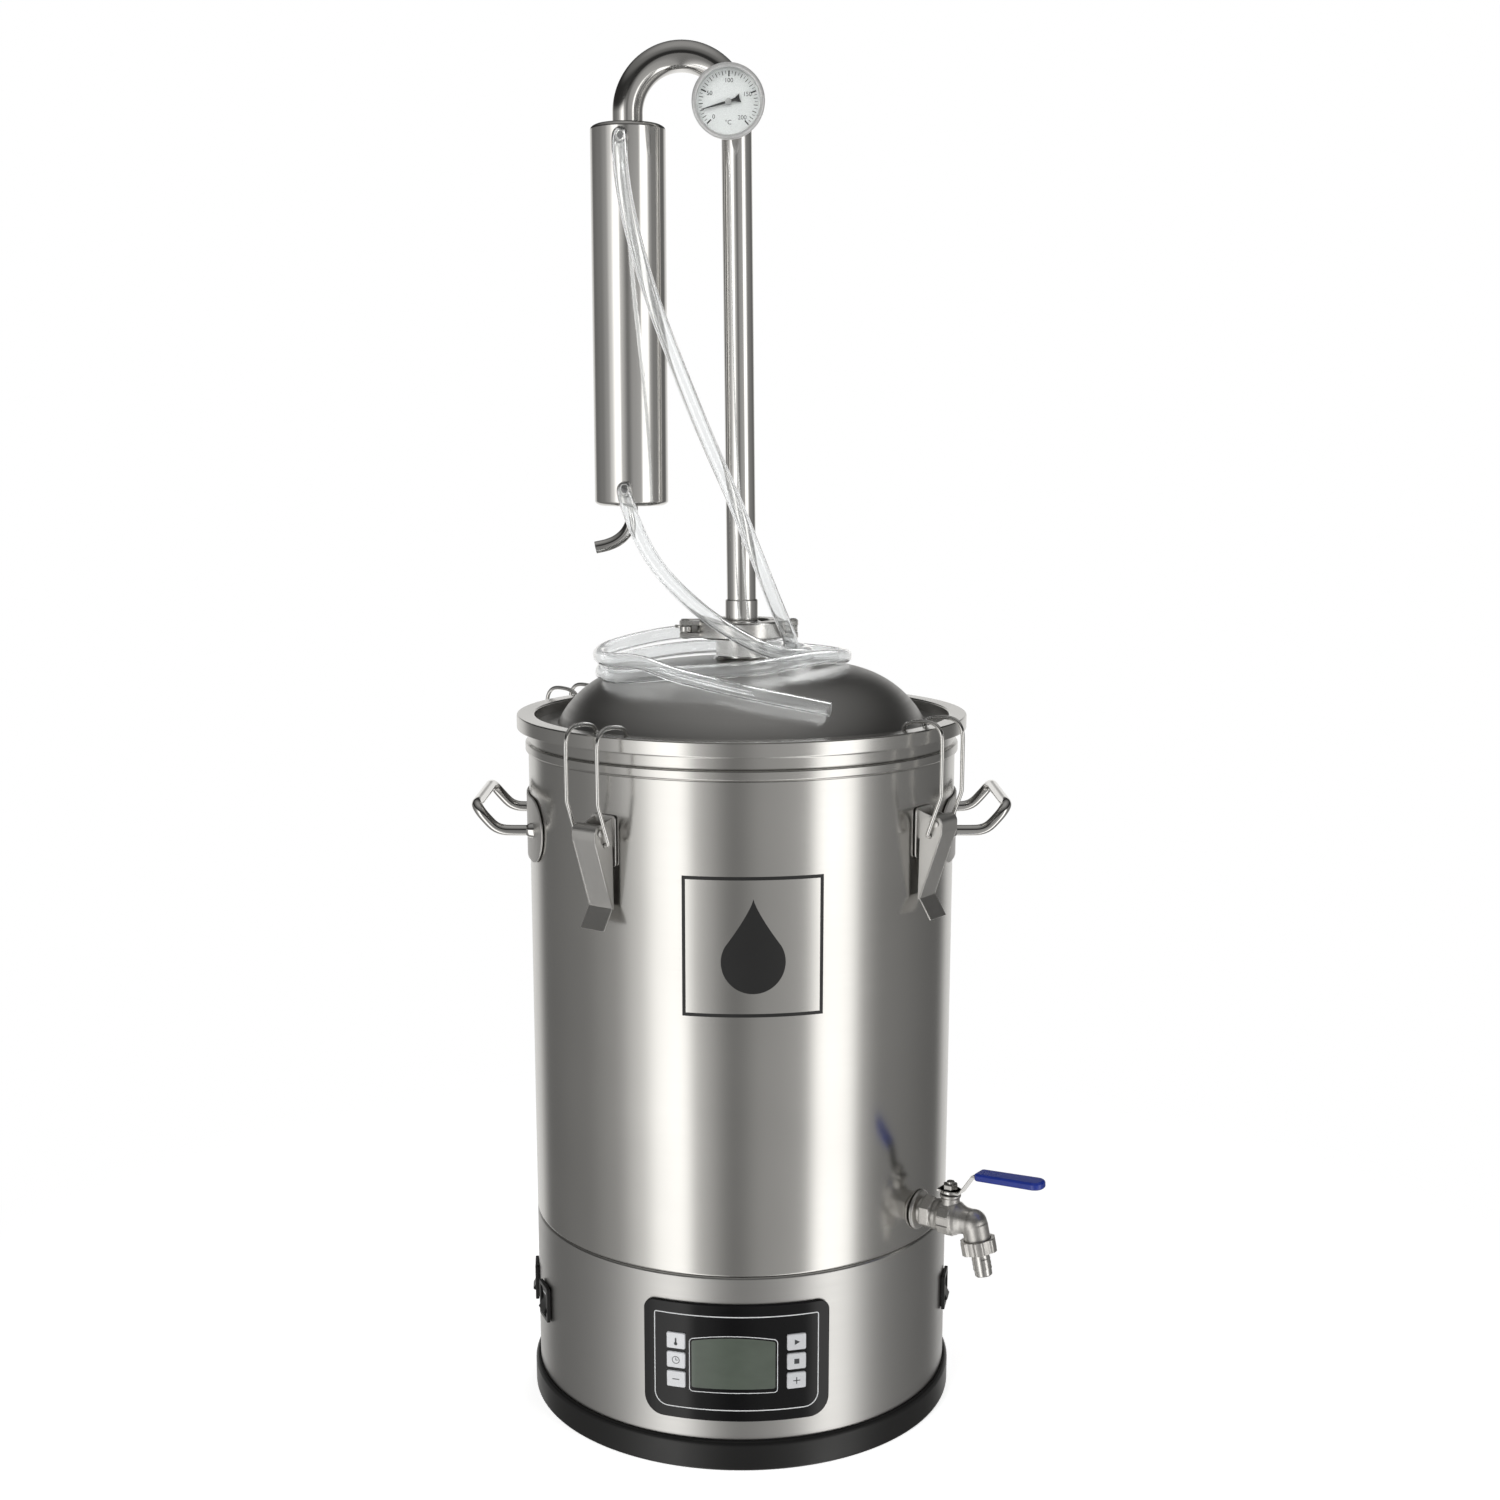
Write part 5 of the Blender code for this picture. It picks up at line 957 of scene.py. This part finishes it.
def column():
    base = JOINT_Z + 0.0013
    rings = [(base, FLANGE_R), (base + 0.0016, FLANGE_R), (base + 0.0020, FLANGE_R - 0.0006),
             (base + 0.0042, SLEEVE_R + 0.0006), (base + 0.0050, SLEEVE_R), (SLEEVE_TOP - 0.0006, SLEEVE_R),
             (SLEEVE_TOP, SLEEVE_R - 0.0004), (SLEEVE_TOP + 0.0004, RISER_R)]
    path = [(0, 0, z) for z, _ in rings]
    path += [(x, 0, z) for x, z in arc((RISER_LEAN - BEND_R, BEND_Z), BEND_R, 0, 180, 60)]
    path.append((CONDENSER_X, 0, CONDENSER_Z[1] + 0.0004))
    radii = [r for _, r in rings] + [RISER_R] * (len(path) - len(rings))
    piece("riser_pipe_fine", tube(path, radii, FINE, [RISER_BORE] * len(path)), PIPE_STEEL, "column",
          "riser_pipe")

    low, high = CONDENSER_Z
    place = shift(CONDENSER_X, 0, 0)
    radius = CONDENSER_R
    jacket = [
        (0.0080, high + 0.0012), (0.0150, high + 0.0010), (0.0235, high + 0.0002),
        (radius - 0.0012, high - 0.0010),
        (radius, high - 0.0024), (radius, low + 0.0024), (radius - 0.0012, low + 0.0010),
        (0.0235, low - 0.0002),
        (0.0110, low - 0.0010), (0.0049, low - 0.0012), (0.0049, low), (radius - 0.0010, low + 0.0024),
        (radius - 0.0010, high - 0.0028), (0.0080, high),
    ]
    collar = [(RISER_R - 0.0002, high + 0.0004), (RISER_R + 0.0016, high + 0.0004),
              (RISER_R + 0.0007, high + 0.0012),
              (RISER_R - 0.0002, high + 0.0012)]
    inside = math.sqrt(radius**2 - (NIPPLE_X - CONDENSER_X)**2) - 0.0008
    nipples, welds, bores = [], [], []
    for height in NIPPLE_Z:
        tip = -NIPPLE_TIP
        stub = [(0.0028, inside), (0.0038, inside), (0.0038, tip - 0.0052), (0.0041, tip - 0.0046),
                (0.0041, tip - 0.0032),
                (0.0036, tip), (0.0028, tip)]
        nipples.append(turned(softened(stub, 0.0003, 2), COARSE, along_y(NIPPLE_X, height)))
        # A dark disc just inside each nipple's tip: painted shade standing in for the shadow down the open
        # bore.
        disc = [(0, tip - 0.0016), (0.0028, tip - 0.0016), (0.0028, tip - 0.0004), (0, tip - 0.0004)]
        bores.append(turned(disc, COARSE, along_y(NIPPLE_X, height)))
        bead = [(0.0034, inside), (0.0058, inside), (0.0050, inside + 0.0014), (0.0036, inside + 0.0024)]
        welds.append(turned(softened(bead, 0.0006), COARSE, along_y(NIPPLE_X, height)))
    piece("condenser_jacket_fine", turned(softened(jacket, 0.0008), 128, place), JACKET_STEEL, "column",
          "condenser_jacket")
    # The painted bore shade discs, shown as one piece.
    piece("nipple_bore_shades", merged(*bores), PAINTED_BORE_SHADE, "column")
    piece("condenser_fittings", merged(turned(collar, FINE, place), *nipples, *welds), FERRULE_STEEL,
          "column")

    x = CONDENSER_X
    bend = [(x, 0, high + 0.0008), (x, 0, 0.9000), (x, 0, 0.7000), (x, 0, 0.6780), (x - 0.0012, 0, 0.6705),
            (x - 0.0050, 0, 0.6638), (x - 0.0108, 0, 0.6588), (x - 0.0180, 0, 0.6556),
            (x - 0.0270, 0, 0.6535)]
    path = bend[:3] + smooth_path(bend[2:], 0.0015)[1:]
    spout = tube(path, [0.0045] * len(path), COARSE, [0.0037] * len(path))
    piece("distillate_spout", spout, PIPE_STEEL, "column", "condenser_tube")


def clamp_section():
    half = CLAMP_HALF_H
    lower = [(CLAMP_LIP_R, -half), (CLAMP_R - 0.0006, -half), (CLAMP_R, -half + 0.0012),
             (CLAMP_R, half - 0.0012),
             (CLAMP_R - 0.0006, half), (CLAMP_LIP_R, half), (CLAMP_LIP_R, 0.0051), (0.0259, 0.0034),
             (0.0259, -0.0034),
             (CLAMP_LIP_R, -0.0051)]
    return softened([(r, z + JOINT_Z) for r, z in lower], 0.0006)


def lug(low, high, width=0.0006):
    corners = [(low[0], low[1], JOINT_Z + low[2]), (high[0], high[1], JOINT_Z + high[2])]
    return eased(block(*corners), width, 3)


def pin(x, y, radius, head, end):
    profile = [(0, -end), (head * 0.55, -end + 0.0002), (head, -end + 0.0010), (head, -end + 0.0018),
               (radius, -end + 0.0018),
               (radius, end - 0.0018), (head, end - 0.0018), (head, end - 0.0010),
               (head * 0.55, end - 0.0002), (0, end)]
    return turned(profile, COARSE, shift(x, y, JOINT_Z))


def clamp():
    half, end = CLAMP_HALF_H, CLAMP_HALF_H + 0.0011
    parts = [turned(clamp_section(), 72, None, 184, 352)]
    for low, high in ((-half, -0.0026), (0.0026, half)):
        parts.append(lug((CLAMP_BOLT_X - 0.0045, CLAMP_PIN_Y - 0.0050, low),
                         (-0.0290, CLAMP_PIN_Y + 0.0040, high)))
        parts.append(lug((0.0285, -0.0075, low), (CLAMP_HINGE_X + 0.0035, 0.0022, high)))
    parts += [pin(CLAMP_BOLT_X, CLAMP_PIN_Y, 0.0019, 0.0034, end), pin(CLAMP_HINGE_X, 0, 0.0017, 0.0030, end)]
    piece("clamp_front_fine", merged(*parts), CLAMP_STEEL, "column", "clamp_front")
    ear_x = (CLAMP_BOLT_X - 0.0038, -0.0280)
    ear = joined("ear", [lug((ear_x[0], 0.0040, -half), (ear_x[1], 0.0090, half))],
                 [block((CLAMP_BOLT_X - 0.0100, 0.0, JOINT_Z - 0.0028),
                        (CLAMP_BOLT_X + 0.0028, 0.012, JOINT_Z + 0.0028))])
    knuckle = lug((0.0290, -0.0028, -0.0022), (CLAMP_HINGE_X + 0.0032, 0.0100, 0.0022))
    piece("clamp_rear_fine", merged(turned(clamp_section(), 72, None, 6, 174), ear, knuckle), CLAMP_STEEL,
          "column",
          "clamp_rear")
    eye = softened([(0.0023, -0.0022), (0.0046, -0.0022), (0.0046, 0.0022), (0.0023, 0.0022)], 0.0006)
    at = shift(CLAMP_BOLT_X, CLAMP_PIN_Y, JOINT_Z)
    thread, end = [(0, 0.0), (0.0021, 0.0)], -0.0215
    for k in range(22):
        turn_z = -0.0042 - 0.00078 * k
        thread += [(0.0019, turn_z), (0.0022, turn_z - 0.0004)]
    thread = [(r, z) for r, z in thread if z > end + 0.0002] + [(0.0018, end), (0, end)]
    shank = turned(thread, COARSE, along_y(CLAMP_BOLT_X, JOINT_Z))
    piece("clamp_bolt_fine", merged(turned(eye, COARSE, at), shank), FERRULE_STEEL, "clamp_screw",
          "clamp_bolt")
    place = along_y(CLAMP_BOLT_X, JOINT_Z)
    hub = softened([(0.0025, -0.0160), (0.0040, -0.0160), (0.0050, -0.0096), (0.0025, -0.0096)], 0.0006)
    wing = softened([(0.0030, 0.0105), (0.0070, 0.0118), (0.0090, 0.0160), (0.0091, 0.0192), (0.0064, 0.0188),
                     (0.0034, 0.0150)], 0.0016, 5)
    wings = [eased(prism([(way * x, y) for x, y in wing], -0.0011, 0.0011, shift(CLAMP_BOLT_X, 0, JOINT_Z)),
                   0.0004, 2, 60) for way in (-1, 1)]
    piece("clamp_wing_nut_fine", merged(turned(hub, COARSE, place), *wings), CLAMP_STEEL, "wing_nut",
          "clamp_wing_nut")


def on_dial(value):
    """The direction of a reading on the scale, clockwise from the top, in radians."""
    return math.radians(DIAL_START + DIAL_SWEEP * value / DIAL_FULL)


def dial_frame(angle):
    """The dial's centre, turned clockwise by an angle in radians."""
    return shift(DIAL_X, 0, DIAL_Z) @ Matrix.Rotation(angle, 4, "Y")


def label(name, text, size, x, z, y):
    """Generic figures as flat raised print on the dial."""
    curve = bpy.data.curves.new(name, "FONT")
    curve.body, curve.size = text, size
    curve.align_x, curve.align_y = "CENTER", "CENTER"
    curve.extrude = 0.00004
    holder = bpy.data.objects.new(name, curve)
    bpy.context.scene.collection.objects.link(holder)
    bpy.context.view_layer.update()
    shape = bmesh.new()
    solid = holder.evaluated_get(bpy.context.evaluated_depsgraph_get())
    shape.from_mesh(bpy.data.meshes.new_from_object(solid))
    bpy.data.objects.remove(holder)
    bmesh.ops.remove_doubles(shape, verts=shape.verts, dist=1e-7)
    return moved(shape, shift(x, y, z) @ rotate(90, "X"))


def thermometer():
    back, face = DIAL_FRONT + 0.0130, DIAL_FRONT + 0.0062
    place = along_y(DIAL_X, DIAL_Z)
    r, inner_r = DIAL_R, DIAL_R - 0.0033
    case = [
        (0, 0.0040), (0.0025, 0.0040), (0.0025, -0.0114), (0.0070, -0.0114), (0.0070, -0.0220),
        (0.0050, -0.0225),
        (0.0050, back), (r - 0.0030, back), (r - 0.0010, back - 0.0012), (r - 0.0006, DIAL_FRONT + 0.0034),
        (r, DIAL_FRONT + 0.0028), (r, DIAL_FRONT + 0.0012), (r - 0.0010, DIAL_FRONT),
        (r - 0.0026, DIAL_FRONT),
        (inner_r, DIAL_FRONT + 0.0012), (r - 0.0034, face + 0.0004), (0, face + 0.0004),
    ]
    shape = turned(softened([(a, -y) for a, y in case], 0.0005), 96, place)
    piece("thermometer_case_fine", shape, BEZEL_STEEL, "column", "thermometer_case")
    disc = cylinder(inner_r, -face - 0.0002, -face, 96, place)
    piece("dial_plate", disc, DIAL_FACE, "column")
    marks = []
    for step in range(41):
        value = step * 5
        bold, medium = value % 50 == 0, value % 10 == 0
        outer = r - 0.0048
        length, half = (0.0038, 0.00046) if bold else (0.0029, 0.00024) if medium else (0.0021, 0.00015)
        marks.append(block((-half, face - 0.00012, outer - length), (half, face - 0.00002, outer),
                           dial_frame(on_dial(value))))
    for value in (0, 50, 100, 150, 200):
        reach, angle = r - 0.0112, on_dial(value)
        at = (DIAL_X + reach * math.sin(angle), DIAL_Z + reach * math.cos(angle))
        marks.append(label(f"figure_{value}", str(value), 0.0041, *at, face - 0.00008))
    marks.append(label("unit", "°C", 0.0042, DIAL_X, DIAL_Z - 0.0135, face - 0.00008))
    piece("dial_marks", merged(*marks), NEEDLE_PAINT, "column")
    glass = softened([(0, 0.0009), (r - 0.0031, 0.0009), (r - 0.0031, 0.0019), (0, 0.0019)], 0.0002)
    piece("thermometer_glass_fine", turned([(a, -(DIAL_FRONT + y)) for a, y in glass], 96, place),
          DIAL_GLASS, "column",
          "thermometer_glass")
    front, rear = DIAL_FRONT + 0.0041, DIAL_FRONT + 0.0048
    turn = dial_frame(on_dial(DIAL_READING) - math.radians(90)) @ SIDE
    pointer = [(0.0, -0.0008), (0.0060, -0.00075), (0.0193, -0.0002), (0.0193, 0.0002), (0.0060, 0.00075),
               (0.0, 0.0008)]
    tail = [(-0.0015, 0.0007), (-0.0050, 0.0012), (-0.0086, 0.0030), (-0.0080, 0.0), (-0.0086, -0.0030),
            (-0.0050, -0.0012), (-0.0015, -0.0007)]
    blade = merged(prism(pointer, -rear, -front, turn), prism(tail, -rear, -front, turn))
    piece("needle_fine", blade, NEEDLE_PAINT, "needle", "thermometer_needle")
    hub = joined("hub",
                 [turned(softened([(0, -rear), (0.0023, -rear), (0.0023, -front + 0.0004),
                                   (0, -front + 0.0005)],
                                         0.0003), COARSE, place)],
                 [block((-0.0030, DIAL_FRONT + 0.0030, -0.00025), (0.0030, DIAL_FRONT + 0.0039, 0.00025),
                        dial_frame(SLOT_TURN))])
    piece("needle_hub", hub, HUB_STEEL, "needle")


# Hoses

def hose(name, route, node):
    path = smooth_path(route, HOSE_STEP)
    for _ in range(HOSE_SMOOTHING):
        path[3:-2] = [(a + 2 * b + c) / 4 for a, b, c in zip(path[2:-3], path[3:-2], path[4:-1])]
    count = len(path)
    shape = tube(path, [HOSE_R - 0.0001] * count, 24, [HOSE_BORE] * count)
    made = piece(name, shape, HOSE_CLEAR, "column", node)


# Setting

def world():
    """Soft vertical panels of light all round, a dark ceiling and a white backdrop."""
    bpy.context.scene.world = bpy.data.worlds.new("studio")
    bpy.context.scene.world.use_nodes = True
    tree = bpy.context.scene.world.node_tree
    tree.nodes.clear()

    def add(kind, sockets=None, **settings):
        return add_node(tree, kind, sockets, **settings).outputs

    def ramp(stops, source):
        made = add_node(tree, "ShaderNodeValToRGB", {"Fac": source})
        points = made.color_ramp.elements
        made.color_ramp.interpolation = "EASE"
        for k, (position, level) in enumerate(stops):
            point = points[k] if k < 2 else points.new(position)
            point.position = position
            point.color = (level, level * 0.99, level * 0.97, 1)
        return made.outputs["Color"]

    split = add("ShaderNodeSeparateXYZ", {"Vector": add("ShaderNodeTexCoord")["Generated"]})
    front = add("ShaderNodeMath", {0: split["Y"], 1: -1.0}, operation="MULTIPLY")[0]
    angle = add("ShaderNodeMath", {0: split["X"], 1: front}, operation="ARCTAN2")[0]
    turn = add("ShaderNodeMapRange", {"Value": angle, "From Min": -math.pi, "From Max": math.pi})[0]
    around = [(-180, 1.0), (-150, 0.78), (-132, 0.17), (-95, 0.23), (-72, 0.36), (-56, 0.80), (-44, 1.60),
              (-31, 1.85), (-24, 0.62), (-4, 0.20), (12, 0.39), (34, 0.46), (43, 1.80), (58, 1.72),
              (69, 0.42),
              (80, 0.25), (134, 0.15), (152, 0.75), (180, 1.0)]
    bands = ramp([((a + 180) / 360, level / 2) for a, level in around], turn)
    rise = add("ShaderNodeMapRange", {"Value": split["Z"], "From Min": -1.0, "From Max": 1.0})[0]
    height = ramp([(0.0, 0.0), (0.575, 0.0), (0.63, 1.0), (1.0, 1.0)], rise)
    ceiling = ramp([(0.0, 0.010), (0.74, 0.014), (0.87, 0.085), (1.0, 0.17)], rise)
    mixed = add("ShaderNodeMix", {"Factor": height, "A": bands, "B": ceiling}, data_type="RGBA")["Result"]
    studio = add("ShaderNodeBackground", {"Color": mixed, "Strength": 2.0})[0]
    plain = add("ShaderNodeBackground", {"Color": (1, 1, 1, 1)})[0]
    rays = add("ShaderNodeLightPath")
    either = add("ShaderNodeMath", {0: rays["Is Camera Ray"], 1: rays["Is Transmission Ray"]},
                 operation="MAXIMUM")[0]
    shown = add("ShaderNodeMixShader", {"Fac": either, 1: studio, 2: plain})[0]
    add("ShaderNodeOutputWorld", {"Surface": shown})


def lights():
    for name, spot, size, power in (("key", (-1.3, -1.9, 2.3), 1.2, 34.0),
                                    ("fill", (1.8, -1.4, 1.6), 1.4, 16.0),
                                    ("rear", (0.6, 1.9, 2.1), 1.4, 16.0)):
        light = bpy.data.lights.new(name, "AREA")
        light.energy, light.size = power, size
        obj = bpy.data.objects.new(name, light)
        bpy.context.scene.collection.objects.link(obj)
        obj.location = spot
        obj.rotation_euler = (Vector((0, 0, 0.45)) - Vector(spot)).to_track_quat("-Z", "Y").to_euler()
        obj.visible_glossy = False


def floor():
    shape = bmesh.new()
    bmesh.ops.create_grid(shape, x_segments=2, y_segments=2, size=6.0)
    bmesh.ops.translate(shape, vec=(0, 0, -0.0002), verts=shape.verts)
    mesh = mesh_of("floor", shape)
    material = bpy.data.materials.new("floor_paper_painted_glow")
    material.use_nodes = True
    tree = material.node_tree
    coords = add_node(tree, "ShaderNodeTexCoord").outputs["Object"]
    reach = add_node(tree, "ShaderNodeVectorMath", {0: coords}, operation="LENGTH").outputs["Value"]
    sockets = {"Roughness": 0.9, "Specular IOR Level": 0.0, "Emission Color": (1, 1, 1, 1)}
    # Painted light: the floor glows, its emission rising from 0.66 near the kettle to 1.0 further out while its
    # lit colour fades to black, so the far floor reads pure white.
    for socket, near, far in (("Emission Strength", 0.66, 1.0), ("Base Color", 0.86, 0.0)):
        fade = {"Value": reach, "From Min": 0.22, "From Max": 0.80, "To Min": near, "To Max": far}
        made = add_node(tree, "ShaderNodeMapRange", fade, interpolation_type="SMOOTHSTEP")
        sockets[socket] = made.outputs["Result"]
    feed(tree, tree.nodes["Principled BSDF"], sockets)
    mesh.materials.append(material)
    obj = bpy.data.objects.new("floor", mesh)
    bpy.context.scene.collection.objects.link(obj)
    obj.visible_glossy = False


def camera():
    data = bpy.data.cameras.new("camera")
    data.sensor_width, data.lens = 36.0, 47.25
    data.shift_x, data.shift_y = 0.0056, 0.06
    obj = bpy.data.objects.new("camera", data)
    bpy.context.scene.collection.objects.link(obj)
    obj.location = (0, -1.4723, 0.7224)
    obj.rotation_euler = (math.radians(90 - 11.127), 0, 0)
    bpy.context.scene.camera = obj
    bpy.context.scene.view_settings.view_transform = "Standard"


def main():
    camera()
    world()
    lights()
    floor()
    hose("hose_upper_fine", HOSE_UPPER_ROUTE, "hose_upper")
    hose("hose_lower_fine", HOSE_LOWER_ROUTE, "hose_lower")
    kettle_shell()
    base_casing()
    foot_ring()
    underside()
    body_mark()
    panel()
    buttons()
    rockers()
    power_inlet()
    handle("handle_right", 90.0)
    handle("handle_left", -90.0)
    for number, azimuth in enumerate(LATCH_AZ, 1):
        latch(number, azimuth)
    tap()
    lid()
    column()
    clamp()
    thermometer()


main()
